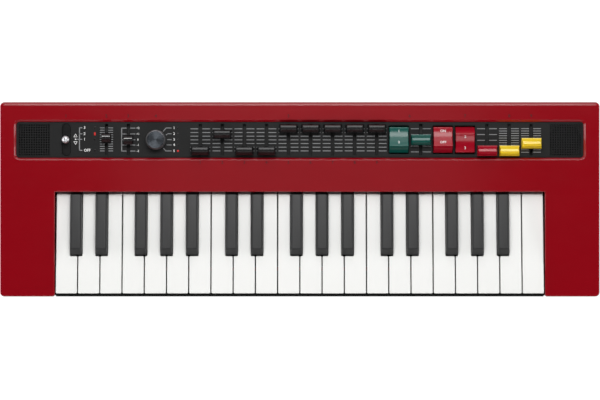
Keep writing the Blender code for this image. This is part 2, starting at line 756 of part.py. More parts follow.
def slider_table():
    """Name, X, cap size, finish and rest place of each slider."""
    sliders = [
        ("volume_slider", VOLUME_X, SMALL_CAP, cap_black(), VOLUME_REST),
        ("octave_slider", OCTAVE_X, SMALL_CAP, cap_black(), OCTAVE_REST),
    ]
    for i, rest in enumerate(DRAWBAR_RESTS):
        x = FIRST_DRAWBAR_X + i * CONTROL_PITCH
        sliders.append((f"drawbar_{i + 1}", x, DRAWBAR_CAP, cap_black(), rest))
    sliders += [
        ("vibrato_depth_slider", effect_x(1), EFFECT_CAP, cap_teal(), DEPTH_REST),
        ("percussion_length_slider", effect_x(4), EFFECT_CAP, cap_red(), LENGTH_REST),
        ("distortion_slider", effect_x(5), EFFECT_CAP, cap_yellow(), DISTORTION_REST),
        ("reverb_slider", effect_x(6), EFFECT_CAP, cap_yellow(), REVERB_REST),
    ]
    return sliders


def slider_mesh(name, cap):
    """Carrier under the panel, stem through its slot and ridged cap over it, about the panel's top face."""
    width, length, height = cap
    hover = CAP_HOVER
    carrier_top = CARRIER_TOP - PANEL_TOP
    shoulder = height - CAP_RIDGE_DROP
    sections = [
        (CARRIER_SIZE[0], CARRIER_SIZE[1], carrier_top - CARRIER_THICKNESS),
        (CARRIER_SIZE[0], CARRIER_SIZE[1], carrier_top),
        (STEM_WIDTH, STEM_LENGTH, carrier_top),
        (STEM_WIDTH, STEM_LENGTH, hover),
        (width, length, hover),
        (width, length, shoulder),
        (width - 2 * CAP_END_SLOPE, CAP_RIDGE, height),
    ]
    rings = [box_ring(w / 2, -d / 2, d / 2, z) for w, d, z in sections]
    return ring_stack(name, rings)


def build_sliders(frame):
    for name, x, cap, finish, rest in slider_table():
        where = (x, PANEL_MIDDLE + rest * SLIDE_HALF, PANEL_TOP)
        place(name, slider_mesh(name, cap), frame, finish, where)


def rocker_table():
    """Name, X, finish and the end that is down at rest, where 1 is the rear end."""
    return [
        ("vibrato_chorus_rocker", effect_x(0), cap_teal(), 1),
        ("percussion_rocker", effect_x(2), cap_red(), 1),
        ("percussion_type_rocker", effect_x(3), cap_red(), -1),
    ]


def rocker_outline():
    """Side outline of a rocker about its pins, from its front chin round its keel to its dished face."""
    half, keel, face = ROCKER_LENGTH / 2, ROCKER_KEEL / 2, ROCKER_FACE / 2
    rise = ROCKER_PIVOT_DROP + ROCKER_RISE
    points = [(-half, ROCKER_CHIN_RISE), (-keel, -ROCKER_SINK)]
    points += [(keel, -ROCKER_SINK), (half, ROCKER_CHIN_RISE)]
    for step in range(DISH_STEPS + 1):
        along = 1 - 2 * step / DISH_STEPS
        points.append((face * along, rise - ROCKER_DISH * (1 - along**2)))
    return points


def build_rockers(frame):
    """Rockers, each with its origin on its pins and leaning on the end that is pressed."""
    for name, x, finish, down in rocker_table():
        half = ROCKER_WIDTH / 2
        rings = [[(u, y, z) for y, z in rocker_outline()] for u in (-half, half)]
        rocker = place(name, ring_stack(name, rings), frame, finish, (x, PANEL_MIDDLE, ROCKER_PIVOT_Z))
        rocker.rotation_euler = (-down * ROCKER_THROW, 0, 0)
        pins = rod_mesh(f"{name}_pins", ROCKER_PIN_RADIUS, ROCKER_WIDTH + 2 * ROCKER_PIN_LENGTH)
        join(rocker, place(f"{name}_pins", pins, frame, location=rocker.location[:]))


def lever_mesh(name):
    """Neck and ball about the hub's axis, turned about Z."""
    ball_z = PANEL_TOP + LEVER_BALL_RISE - LEVER_PIVOT_Z
    start = atan2(LEVER_NECK_RADIUS, -sqrt(LEVER_BALL_RADIUS**2 - LEVER_NECK_RADIUS**2))
    rings = [circle_ring(LEVER_NECK_RADIUS, 0.0, SMALL_ROUND_SIDES)]
    for step in range(BALL_STEPS):
        angle = start * (1 - step / BALL_STEPS)
        radius, z = LEVER_BALL_RADIUS * sin(angle), ball_z + LEVER_BALL_RADIUS * cos(angle)
        rings.append(circle_ring(radius, z, SMALL_ROUND_SIDES))
    mesh = ring_stack(name, rings)
    smooth_round(mesh)
    return mesh


def build_lever(frame):
    where = (LEVER_X, PANEL_MIDDLE, LEVER_PIVOT_Z)
    lever = place("rotary_lever", lever_mesh("rotary_lever"), frame, bright_metal(), where)
    hub = rod_mesh("lever_hub", LEVER_HUB_RADIUS, LEVER_SLOT[0] + 2 * EAR_THICKNESS)
    join(lever, place("lever_hub", hub, frame, location=where))


def build_knob(frame):
    """Knob, its shaft and the switch body's collar under the panel, about the panel's top face."""
    under = CARRIER_TOP - PANEL_TOP
    sections = [
        (KNOB_SWITCH_RADIUS, under - KNOB_SWITCH_DEPTH),
        (KNOB_SWITCH_RADIUS, under),
        (KNOB_SHAFT_RADIUS, under),
        (KNOB_SHAFT_RADIUS, CAP_HOVER),
        (KNOB_BASE_RADIUS, CAP_HOVER),
        (KNOB_TOP_RADIUS, KNOB_HEIGHT),
    ]
    mesh = ring_stack("wave_knob", [circle_ring(radius, z) for radius, z in sections])
    smooth_round(mesh)
    place("wave_knob", mesh, frame, spun_metal(), (KNOB_X, PANEL_MIDDLE, PANEL_TOP))


# Control panel

def panel_plate():
    half_x, half_y = PANEL_WIDTH / 2 + PLATE_OVERLAP, PANEL_DEPTH / 2 + PLATE_OVERLAP
    radius = PANEL_CORNER_RADIUS + PLATE_OVERLAP
    rings = [rounded_ring(half_x, half_y, radius, z, (0, PANEL_MIDDLE)) for z in (PANEL_BOTTOM, PANEL_TOP)]
    return ring_stack("control_panel", rings)


def panel_cuts():
    """Slider slots, rocker cut-outs, the lever's slot and the knob's hole, through the plate."""
    bm = bmesh.new()
    levels = (PANEL_BOTTOM - CUT_MARGIN, PANEL_TOP + CUT_MARGIN)
    holes = [(x, slot_outline(SLOT_WIDTH, SLOT_LENGTH)) for _, x, _, _, _ in slider_table()]
    holes.append((LEVER_X, slot_outline(*LEVER_SLOT)))
    knob_hole = circle_ring(KNOB_SHAFT_RADIUS + KNOB_SHAFT_GAP, 0)
    holes.append((KNOB_X, [(x, y) for x, y, _ in knob_hole]))
    half_x = ROCKER_WIDTH / 2 + ROCKER_SIDE_GAP
    chin_reach = sqrt((ROCKER_LENGTH / 2)**2 + ROCKER_CHIN_RISE**2)
    half_y = chin_reach + ROCKER_END_GAP
    holes += [(x, rounded_outline(half_x, half_y, ROCKER_SIDE_GAP)) for _, x, _, _ in rocker_table()]
    for x, outline in holes:
        add_ring_stack(bm, [[(x + px, PANEL_MIDDLE + py, z) for px, py in outline] for z in levels])
    return finished_mesh("panel_cuts", bm)


def ear_mesh(name, xs, pivot_z, pin_radius):
    """Ears under the plate at each X, each from the plate down past a pivot."""
    depth = pin_radius + TOUCH_GAP + EAR_THICKNESS
    low_z, high_z = pivot_z - depth, PANEL_BOTTOM + PLATE_THICKNESS / 2
    half, reach = EAR_THICKNESS / 2, EAR_LENGTH / 2 + pin_radius
    pairs = [((x - half, PANEL_MIDDLE - reach, low_z), (x + half, PANEL_MIDDLE + reach, high_z)) for x in xs]
    return box_mesh(name, *pairs)


def rocker_ear_places():
    """X of the ears on both sides of each rocker, where two rockers side by side share one."""
    offset = CONTROL_PITCH / 2
    places = {round((x + side * offset) / MM, 3) for _, x, _, _ in rocker_table() for side in (-1, 1)}
    return [x * MM for x in sorted(places)]


def build_control_panel(frame):
    panel = place("control_panel", panel_plate(), frame, panel_black())
    ears = ear_mesh("rocker_ears", rocker_ear_places(), ROCKER_PIVOT_Z, ROCKER_PIN_RADIUS)
    join(panel, place("rocker_ears", ears, frame))
    lever_offset = LEVER_SLOT[0] / 2 + EAR_THICKNESS / 2
    lever_places = [LEVER_X - lever_offset, LEVER_X + lever_offset]
    lever_ears = ear_mesh("lever_ears", lever_places, LEVER_PIVOT_Z, LEVER_HUB_RADIUS)
    join(panel, place("lever_ears", lever_ears, frame))
    cut(panel, place("panel_cuts", panel_cuts(), frame))
    for name, x, _, _ in rocker_table():
        radius = clearance_radius(ROCKER_PIN_RADIUS, TOUCH_GAP)
        bore = rod_mesh(f"{name}_bore", radius, CONTROL_PITCH + 2 * EAR_THICKNESS)
        cut(panel, place(f"{name}_bore", bore, frame, location=(x, PANEL_MIDDLE, ROCKER_PIVOT_Z)))
    radius = clearance_radius(LEVER_HUB_RADIUS, TOUCH_GAP)
    bore = rod_mesh("lever_bore", radius, LEVER_SLOT[0] + 4 * EAR_THICKNESS)
    cut(panel, place("lever_bore", bore, frame, location=(LEVER_X, PANEL_MIDDLE, LEVER_PIVOT_Z)))
    return panel


def main():
    clear_scene()
    frame = deck_frame()
    build_upper_case(frame)
    build_lower_case(frame)
    build_control_panel(frame)
    build_keys(frame)
    build_sliders(frame)
    build_rockers(frame)
    build_lever(frame)
    build_knob(frame)


main()
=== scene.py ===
"""Looks of the combo organ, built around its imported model.

Pieces are modelled in millimetres. Most are modelled in the deck's own axes: X runs along the keys, Y from the
deck's front edge to its rear edge, and Z out of the deck, which leans towards the player. Pieces under the case
are modelled level with the table. Both are then moved into the frame's axes, in metres.
"""

import json
import logging
import math
from abc import ABC, abstractmethod
from collections.abc import Callable, Iterable, Sequence
from dataclasses import dataclass, field
from enum import Enum
from typing import Any

import bmesh
import bpy
from mathutils import Matrix, Vector


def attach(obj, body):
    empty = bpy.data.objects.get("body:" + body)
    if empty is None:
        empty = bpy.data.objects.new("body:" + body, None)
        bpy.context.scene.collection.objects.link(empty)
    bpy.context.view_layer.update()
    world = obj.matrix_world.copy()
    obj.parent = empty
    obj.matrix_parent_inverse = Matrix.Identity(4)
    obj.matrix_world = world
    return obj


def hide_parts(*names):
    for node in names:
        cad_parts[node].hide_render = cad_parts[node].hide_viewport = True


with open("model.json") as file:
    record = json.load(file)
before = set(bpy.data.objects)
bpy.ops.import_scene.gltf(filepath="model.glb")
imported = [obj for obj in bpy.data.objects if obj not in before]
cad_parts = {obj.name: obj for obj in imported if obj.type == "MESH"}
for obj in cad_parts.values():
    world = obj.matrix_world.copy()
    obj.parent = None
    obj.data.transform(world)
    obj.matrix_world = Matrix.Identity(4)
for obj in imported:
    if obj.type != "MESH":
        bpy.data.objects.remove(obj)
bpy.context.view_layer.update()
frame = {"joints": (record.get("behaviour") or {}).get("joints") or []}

MM = 0.001

# Levels and places that several sub-assemblies share, in the deck's axes
PANEL_MIDDLE = 138.5
PANEL_TOP = -3.0
PANEL_BOTTOM = -5.0
KNOB_X = -127.2
LEVER_X = -206.6
VOLUME_X = -171.0
OCTAVE_X = -151.6
FIRST_DRAWBAR_X = -88.0
CONTROL_PITCH = 19.5
VIBRATO_DEPTH_X = 107.0
PERCUSSION_LENGTH_X = 165.5
DISTORTION_X = 185.0
REVERB_X = 204.5
ROCKER_PLACES = (87.5, 126.5, 146.0)
ROCKER_PIVOT = PANEL_TOP - 4.2
LEVER_PIVOT = -9.0
DRAWBAR_PLACES = tuple(FIRST_DRAWBAR_X + i * CONTROL_PITCH for i in range(9))
SLIDE_HALF = 9.75
WELL_HALF = 216.6
WELL_DEPTH = 92.5
CASE_HALF = 265.0
CASE_DEPTH = 171.9
SHELL_BOTTOM = -22.0
REAR_WALL = 170.7
KEY_FRONT = 2.8
KEY_FRONT_RISE = 3.0
KEY_FRONT_HEIGHT = 13.5
KEY_SLOPE = math.tan(math.radians(7.8))
KEY_TRAVEL = math.radians(3.5)
PIVOT_Y = 118.0
PIVOT_Z = KEY_FRONT_RISE - (PIVOT_Y - KEY_FRONT) * KEY_SLOPE - 4.2
KEY_REAR = PIVOT_Y + 4.0
KEY_TAIL = PIVOT_Z - 1.5

# How far a cutter reaches to each side of a key
CUTTER_REACH = 30.0

# Height of the rear sockets over the table, the play of their bores in the rear wall, and where they end behind it
SOCKET_HEIGHT = 17.5
SOCKET_PLAY = 0.1
SOCKET_END = -11.0

# Edges that turn by more degrees than these stay sharp in shading
SHARP_TURN = 32.0
SHARP_COPY = 35.0
SHARP_KNOB = 38.0
SHARP_SHELL = 40.0

# Sizes of the slow patterns in moulded plastic, in millimetres
CLOUD_SIZE = 38.0
SMEAR_SIZE = 9.0

Pair = tuple[float, float]
Point = tuple[float, float, float]
Ring = list[Point]
Colour = tuple[float, float, float]
Mesh = bpy.types.Mesh

WHITE = (1.0, 1.0, 1.0, 1.0)

log = logging.getLogger("combo_organ")


class Axes:
    """The deck's place in the frame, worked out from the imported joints."""

    def __init__(self, joints: Sequence[dict[str, Any]]) -> None:
        """Finds the lean from a slider's direction and the origin from the knob's axis.

        Args:
            joints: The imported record's joints.
        """
        slide = next(joint for joint in joints if joint["type"] == "slide")
        knob = next(joint for joint in joints if joint["child"] == "wave_knob")
        self.lean: float = math.atan2(slide["axis"][2], slide["axis"][1])
        turn = Matrix.Rotation(self.lean, 4, "X")
        origin = Vector(knob["pos_m"]) - turn @ (Vector((KNOB_X, PANEL_MIDDLE, PANEL_TOP)) * MM)
        self.deck: Matrix = Matrix.Translation(origin) @ turn @ Matrix.Scale(MM, 4)
        self.level: Matrix = Matrix.Scale(MM, 4)

    def from_level(self) -> Matrix:
        """The move from level millimetres to deck millimetres."""
        return self.deck.inverted() @ self.level

    def deck_height(self, height: float, y: float) -> float:
        """The deck's Z of a point at a height above the table.

        Args:
            height: Height above the table.
            y: The point's deck Y.

        Returns:
            Its deck Z, in millimetres.
        """
        base = self.deck.translation.z / MM
        return (height - base - y * math.sin(self.lean)) / math.cos(self.lean)


# Outlines and forms


@dataclass(frozen=True)
class PathPoint:
    """A point of an outline, with the direction into the material beside it."""

    x: float
    y: float
    nx: float
    ny: float

    def moved(self, inset: float) -> Pair:
        """The point, moved into the material."""
        return self.x + self.nx * inset, self.y + self.ny * inset


Corner = tuple[float, float, float]


def rounded_path(corners: Sequence[Corner], steps: int = 4) -> list[PathPoint]:
    """Rounds the corners of an outline that has its material on its left.

    Args:
        corners: X, Y and radius of each corner.
        steps: How many edges a round corner has.

    Returns:
        The outline's points.
    """
    points: list[PathPoint] = []
    count = len(corners)
    for index, (x, y, radius) in enumerate(corners):
        before, after = corners[index - 1], corners[(index + 1) % count]
        way_in = Vector((x - before[0], y - before[1])).normalized()
        way_out = Vector((after[0] - x, after[1] - y)).normalized()
        normal_in, normal_out = Vector((-way_in.y, way_in.x)), Vector((-way_out.y, way_out.x))
        turn = math.atan2(way_in.cross(way_out), way_in.dot(way_out))
        if radius <= 0 or abs(turn) < 1e-6:
            miter = (normal_in + normal_out) / (1 + normal_in.dot(normal_out))
            points.append(PathPoint(x, y, miter.x, miter.y))
            continue
        side = math.copysign(1.0, turn)
        reach = radius * math.tan(abs(turn) / 2)
        centre = Vector((x, y)) - way_in * reach + normal_in * radius * side
        for step in range(steps + 1):
            normal = Matrix.Rotation(turn * step / steps, 2) @ normal_in
            place = centre - normal * radius * side
            points.append(PathPoint(place.x, place.y, normal.x, normal.y))
    return points


def rectangle(half_x: float, half_y: float, radius: float, centre: Pair = (0.0, 0.0),
              hole: bool = False, steps: int = 4) -> list[PathPoint]:
    """Outline of a rectangle with round corners.

    Args:
        half_x: Half its width.
        half_y: Half its depth.
        radius: Radius of its corners.
        centre: Its middle.
        hole: Whether the material lies outside it.
        steps: How many edges a corner has.

    Returns:
        The outline's points.
    """
    signs = [(-1, -1), (1, -1), (1, 1), (-1, 1)]
    if hole:
        signs.reverse()
    corners = [(centre[0] + sx * half_x, centre[1] + sy * half_y, radius) for sx, sy in signs]
    return rounded_path(corners, steps)


def turns(sides: int) -> list[float]:
    """Angles of a polygon's corners, with a flat side square to X."""
    return [2 * math.pi * (i + 0.5) / sides for i in range(sides)]


def circle(radius: float, sides: int, centre: Pair = (0.0, 0.0), hole: bool = False) -> list[PathPoint]:
    """Outline of a circle, with its material inside or, for a hole, outside."""
    way = -1 if hole else 1
    points = []
    for turn in turns(sides):
        across, along = math.cos(way * turn), math.sin(way * turn)
        points.append(PathPoint(centre[0] + radius * across, centre[1] + radius * along, -way * across, -way * along))
    return points


def fillet(radius: float, steps: int = 4, support: float = 0.3) -> list[Pair]:
    """Inset and drop of each ring of a rounded edge, from the flat to the wall.

    Args:
        radius: The edge's radius.
        steps: How many facets it has.
        support: Width of the strips that keep the flat and the wall flat in shading.

    Returns:
        Pairs of inset and drop.
    """
    rings = [(radius + support, 0.0)]
    for step in range(steps + 1):
        angle = math.pi / 2 * step / steps
        rings.append((radius * (1 - math.sin(angle)), radius * (1 - math.cos(angle))))
    rings.append((0.0, radius + support))
    return rings


Steps = Callable[[PathPoint], list[Pair]]


@dataclass(frozen=True)
class Rim:
    """One edge of a plate: an outline, and the inset and height of each ring from its top to its underside.

    The rings are the same all round, or a function gives them for each point of the outline.
    """

    points: list[PathPoint]
    steps: list[Pair] | Steps

    def rings(self) -> list[Ring]:
        """The rim's rings from the top flat to the underside."""
        profiles = [self.steps(point) if callable(self.steps) else self.steps for point in self.points]
        return [
            [(*point.moved(profile[k][0]), profile[k][1]) for point, profile in zip(self.points, profiles)]
            for k in range(len(profiles[0]))
        ]


class Form:
    """A closed shape under construction, in millimetres."""

    def __init__(self) -> None:
        """Starts with nothing."""
        self.bm = bmesh.new()

    def _bridge(self, rings: Sequence[Sequence[Point]], loop: bool = False) -> list[list[bmesh.types.BMVert]]:
        """Joins rings of equal counts with four-sided faces."""
        loops = [[self.bm.verts.new(point) for point in ring] for ring in rings]
        pairs = list(zip(loops, loops[1:]))
        if loop:
            pairs.append((loops[-1], loops[0]))
        for lower, upper in pairs:
            for i in range(len(lower)):
                j = (i + 1) % len(lower)
                self.bm.faces.new((lower[i], lower[j], upper[j], upper[i]))
        return loops

    def loft(self, rings: Sequence[Sequence[Point]], loop: bool = False) -> "Form":
        """Adds a body through rings of equal counts, closed by a cap at each end or by its first ring."""
        loops = self._bridge(rings, loop)
        if not loop:
            self.bm.faces.new(list(reversed(loops[0])))
            self.bm.faces.new(loops[-1])
        return self

    def follow(self, points: Sequence[PathPoint], levels: Iterable[Pair], loop: bool = False) -> "Form":
        """Adds a body whose rings follow an outline, from pairs of inset and height."""
        return self.loft([[(*point.moved(inset), z) for point in points] for inset, z in levels], loop)

    def _fill(self, loops: Sequence[Sequence[bmesh.types.BMVert]]) -> None:
        """Fills the flat between loops."""
        edges = [self.bm.edges.get((loop[i - 1], loop[i])) for loop in loops for i in range(len(loop))]
        bmesh.ops.triangle_fill(self.bm, use_beauty=True, use_dissolve=False, edges=edges, normal=(0, 0, 1))

    def plate(self, rims: Sequence[Rim]) -> "Form":
        """Adds a plate with an outer rim and any holes."""
        tops, undersides = [], []
        for rim in rims:
            loops = self._bridge(rim.rings())
            tops.append(loops[0])
            undersides.append(loops[-1])
        self._fill(tops)
        self._fill(undersides)
        return self

    def prism(self, points: Sequence[PathPoint], low: float, high: float, edge: float = 0.0) -> "Form":
        """Adds an upright body over an outline, with both its edges rounded.

        Args:
            points: The outline.
            low: Height of its underside.
            high: Height of its top.
            edge: Radius of its edges.

        Returns:
            This form.
        """
        rounds = fillet(edge, 3, 0.0)[1:-1] if edge else [(0.0, 0.0)]
        levels = [(inset, high - drop) for inset, drop in rounds]
        levels += [(inset, low + drop) for inset, drop in reversed(rounds)]
        return self.follow(points, reversed(levels))

    def box(self, low: Point, high: Point, edge: float = 0.0) -> "Form":
        """Adds a box between two corners, with its edges rounded."""
        half = ((high[0] - low[0]) / 2, (high[1] - low[1]) / 2)
        centre = ((high[0] + low[0]) / 2, (high[1] + low[1]) / 2)
        radius = edge * 1.5
        return self.prism(rectangle(*half, radius, centre, steps=3), low[2], high[2], edge)

    def lathe(self, profile: Sequence[Pair], sides: int = 48,
              centre: Pair = (0.0, 0.0), loop: bool = False) -> "Form":
        """Adds a turned body about an upright axis.

        Args:
            profile: Radius and height of each ring, which starts and ends on the axis or as a flat cap.
            sides: How many sides it has.
            centre: X and Y of its axis.
            loop: Whether the profile closes on itself, as a ring's does.

        Returns:
            This form.
        """
        rings = [
            [(centre[0] + radius * math.cos(a), centre[1] + radius * math.sin(a), z) for a in turns(sides)]
            for radius, z in profile
        ]
        return self.loft(rings, loop)

    def put(self, mesh: Mesh, place: Matrix | None = None) -> "Form":
        """Adds a copy of a mesh."""
        copy = mesh.copy()
        if place is not None:
            copy.transform(place)
        self.bm.from_mesh(copy)
        bpy.data.meshes.remove(copy)
        return self

    def moved(self, place: Matrix) -> "Form":
        """Moves all that the form holds so far."""
        bmesh.ops.transform(self.bm, matrix=place, verts=self.bm.verts[:])
        return self

    def soften(self, width: float, steps: int = 2, angle: float = 22.0) -> "Form":
        """Bevels every edge that turns by more than an angle in degrees."""
        limit = math.radians(angle)
        edges = [edge for edge in self.bm.edges if edge.is_manifold and edge.calc_face_angle() > limit]
        bmesh.ops.bevel(self.bm, geom=edges, offset=width, segments=steps, profile=0.5, affect="EDGES",
                        clamp_overlap=True)
        return self

    def mesh(self, name: str, sharp: float = SHARP_TURN) -> Mesh:
        """The finished mesh, with its faces pointing out.

        Args:
            name: The mesh's name.
            sharp: Edges that turn by more degrees than this stay sharp.

        Returns:
            The mesh, in millimetres.
        """
        bmesh.ops.remove_doubles(self.bm, verts=self.bm.verts[:], dist=1e-4)
        bmesh.ops.dissolve_degenerate(self.bm, edges=self.bm.edges[:], dist=1e-5)
        bmesh.ops.recalc_face_normals(self.bm, faces=self.bm.faces[:])
        made = bpy.data.meshes.new(name)
        self.bm.to_mesh(made)
        self.bm.free()
        return smoothed(made, sharp)


def smoothed(mesh: Mesh, sharp: float) -> Mesh:
    """Shades a mesh smooth, apart from edges that turn by more than an angle in degrees."""
    mesh.shade_smooth()
    mesh.set_sharp_from_angle(angle=math.radians(sharp))
    return mesh


def evaluated(obj: bpy.types.Object) -> Mesh:
    """A plain mesh of an object with its modifiers applied. The object is removed."""
    bpy.context.view_layer.update()
    depsgraph = bpy.context.evaluated_depsgraph_get()
    made = bpy.data.meshes.new_from_object(obj.evaluated_get(depsgraph))
    bpy.data.objects.remove(obj, do_unlink=True)
    return made


def loose(mesh: Mesh | bpy.types.Curve, name: str) -> bpy.types.Object:
    """An object for a mesh or curve, linked to the scene."""
    obj = bpy.data.objects.new(name, mesh)
    bpy.context.scene.collection.objects.link(obj)
    return obj


def carved(mesh: Mesh, cutters: Sequence[Mesh], sharp: float = SHARP_TURN) -> Mesh:
    """Cuts shapes out of a mesh with the exact solver.

    Args:
        mesh: The body.
        cutters: What is cut away.
        sharp: Edges that turn by more degrees than this stay sharp.

    Returns:
        The carved mesh.
    """
    body = loose(mesh, f"{mesh.name}_body")
    tools = [loose(cutter, f"{mesh.name}_cutter_{i}") for i, cutter in enumerate(cutters)]
    for tool in tools:
        cut = body.modifiers.new(tool.name, "BOOLEAN")
        cut.operation, cut.solver, cut.object = "DIFFERENCE", "EXACT", tool
    made = evaluated(body)
    for tool in tools:
        bpy.data.objects.remove(tool, do_unlink=True)
    return smoothed(made, sharp)


def lettering(text: str, height: float, bold: float = 0.0, thick: float = 0.04) -> Mesh:
    """Digits or plain switch words as a thin solid, centred on the origin and facing up.

    Args:
        text: What is printed.
        height: Height of a digit.
        bold: How far its outline is moved out.
        thick: Thickness of the ink.

    Returns:
        The mesh, in millimetres.
    """
    curve = bpy.data.curves.new("lettering", "FONT")
    curve.body = text
    curve.size = height / 0.7
    curve.align_x, curve.align_y = "CENTER", "CENTER"
    curve.extrude, curve.offset = thick / 2, bold
    curve.resolution_u = 3
    made = evaluated(loose(curve, "lettering"))
    bpy.data.curves.remove(curve)
    return made


def at(x: float, y: float, z: float) -> Matrix:
    """A move to a place."""
    return Matrix.Translation((x, y, z))


def facing_rear(x: float, y: float, z: float) -> Matrix:
    """A move to a place that turns what faces up to face the rear."""
    return at(x, y, z) @ Matrix.Rotation(-math.pi / 2, 4, "X")


def cleared(radius: float) -> float:
    """Corner radius of a round hole in flat facets that clears a pin of a radius."""
    return radius / math.cos(math.pi / 12)


# Turns an upright body along X, and turns print about its own middle
ALONG_X = Matrix.Rotation(math.pi / 2, 4, "Y")
HALF_TURN = Matrix.Rotation(math.pi, 4, "Z")


# Node trees


class Term:
    """A value in a node tree, which arithmetic extends with Math nodes."""

    def __init__(self, tree: "Tree", socket: bpy.types.NodeSocket) -> None:
        """Wraps an output socket of a tree."""
        self.tree = tree
        self.socket = socket

    def __add__(self, other: "Term | float") -> "Term":
        """Sum."""
        return self.tree.math("ADD", self, other)

    def __radd__(self, other: float) -> "Term":
        """Sum, with the number first."""
        return self.tree.math("ADD", other, self)

    def __sub__(self, other: "Term | float") -> "Term":
        """Difference."""
        return self.tree.math("SUBTRACT", self, other)

    def __rsub__(self, other: float) -> "Term":
        """Difference, with the number first."""
        return self.tree.math("SUBTRACT", other, self)

    def __mul__(self, other: "Term | float") -> "Term":
        """Product."""
        return self.tree.math("MULTIPLY", self, other)

    def __rmul__(self, other: float) -> "Term":
        """Product, with the number first."""
        return self.tree.math("MULTIPLY", other, self)

    def __truediv__(self, other: "Term | float") -> "Term":
        """Quotient."""
        return self.tree.math("DIVIDE", self, other)

    def __neg__(self) -> "Term":
        """The value with its sign turned."""
        return self.tree.math("MULTIPLY", self, -1.0)


class Tree:
    """Makes the nodes of one tree."""

    def __init__(self, tree: bpy.types.NodeTree) -> None:
        """Wraps a tree."""
        self.tree = tree

    def node(self, kind: str, settings: dict[str, Any] | None = None,
             inputs: dict[str | int, Any] | None = None) -> bpy.types.Node:
        """Makes a node.

        Args:
            kind: The node's type.
            settings: Its settings, which are set first.
            inputs: A value or a link for each socket, by name or number.

        Returns:
            The node.
        """
        made = self.tree.nodes.new(kind)
        for name, value in (settings or {}).items():
            setattr(made, name, value)
        for name, value in (inputs or {}).items():
            self.feed(made, name, value)
        return made

    def feed(self, node: bpy.types.Node, name: str | int, value: Any) -> None:
        """Sets or links one input socket of a node."""
        socket = node.inputs[name]
        if isinstance(value, Term):
            self.tree.links.new(value.socket, socket)
        else:
            socket.default_value = value

    def take(self, node: bpy.types.Node, name: str | int = 0) -> Term:
        """One output of a node."""
        return Term(self, node.outputs[name])

    def math(self, operation: str, *values: "Term | float") -> Term:
        """The result of a Math node."""
        return self.take(self.node("ShaderNodeMath", {"operation": operation}, dict(enumerate(values))))

    def vector(self, x: "Term | float", y: "Term | float", z: "Term | float") -> Term:
        """A vector of three values."""
        return self.take(self.node("ShaderNodeCombineXYZ", None, {0: x, 1: y, 2: z}))


class ShaderTree(Tree):
    """A material's tree, with the patterns that this object's finishes use."""

    def place(self) -> Term:
        """Where a point is on the object, in metres."""
        return self.take(self.node("ShaderNodeTexCoord"), "Object")

    def noise(self, size: float, detail: float = 2.0, stretch: Point = (1.0, 1.0, 1.0)) -> Term:
        """Cloudy noise from 0 to 1.

        Args:
            size: Size of its clouds in millimetres.
            detail: How much finer detail it has.
            stretch: How much longer its clouds are along each axis.

        Returns:
            The noise.
        """
        scale = [1.0 / part for part in stretch]
        spread = self.node("ShaderNodeMapping", None, {"Vector": self.place(), "Scale": scale})
        inputs = {"Vector": self.take(spread), "Scale": 1.0 / (size * MM), "Detail": detail}
        return self.take(self.node("ShaderNodeTexNoise", None, inputs))

    def cells(self, size: float) -> Term:
        """Distance to the nearest of scattered points, from 0, for a leathery grain."""
        inputs = {"Vector": self.place(), "Scale": 1.0 / (size * MM)}
        return self.take(self.node("ShaderNodeTexVoronoi", {"feature": "SMOOTH_F1"}, inputs), "Distance")

    def blend(self, share: Term, first: Colour, second: Colour) -> Term:
        """A colour between two."""
        inputs = {0: share, 6: (*first, 1.0), 7: (*second, 1.0)}
        return self.take(self.node("ShaderNodeMix", {"data_type": "RGBA"}, inputs), 2)

    def bump(self, height: Term, depth: float) -> Term:
        """A normal for a relief of a depth in millimetres."""
        return self.take(self.node("ShaderNodeBump", None, {"Height": height, "Distance": depth * MM, "Strength": 1.0}))


def shaded(colour: Colour, share: float) -> Colour:
    """A colour made lighter or darker by a share."""
    return tuple(min(1.0, part * share) for part in colour)


@dataclass(frozen=True)
class Finish(ABC):
    """A surface finish, made as one material."""

    name: str
    slot: str
    colour: Colour

    @abstractmethod
    def shade(self, tree: ShaderTree, shader: bpy.types.Node) -> None:
        """Sets up the shader."""

    def tinted(self, tree: ShaderTree, share: Term, dark: float, light: float = 1.0) -> Term:
        """The finish's colour, wandering between two shades of it."""
        return tree.blend(share, shaded(self.colour, dark), shaded(self.colour, light))

    def material(self) -> bpy.types.Material:
        """The finish's material, made once."""
        found = bpy.data.materials.get(self.name)
        if found:
            return found
        made = bpy.data.materials.new(self.name)
        made.use_nodes = True
        self.shade(ShaderTree(made.node_tree), made.node_tree.nodes["Principled BSDF"])
        return made


@dataclass(frozen=True)
class Moulded(Finish):
    """Moulded plastic or rubber: a grain, a slow mottle, and handling marks that change its gloss."""

    roughness: float
    grain: float = 0.35
    grain_depth: float = 0.004
    mottle: float = 0.05
    handling: float = 0.06
    specular: float = 0.5

    def shade(self, tree: ShaderTree, shader: bpy.types.Node) -> None:
        """Sets up the shader."""
        grain = tree.noise(self.grain, 2.0)
        cloud = tree.noise(CLOUD_SIZE, 3.0)
        smear = tree.noise(SMEAR_SIZE, 4.0, (3.0, 1.0, 1.0))
        tree.feed(shader, "Base Color", self.tinted(tree, cloud, 1 - self.mottle, 1 + self.mottle))
        gloss = self.roughness + (smear - 0.5) * self.handling + (grain - 0.5) * (self.handling * 0.5)
        tree.feed(shader, "Roughness", gloss)
        tree.feed(shader, "Normal", tree.bump(grain, self.grain_depth))
        tree.feed(shader, "Specular IOR Level", self.specular)


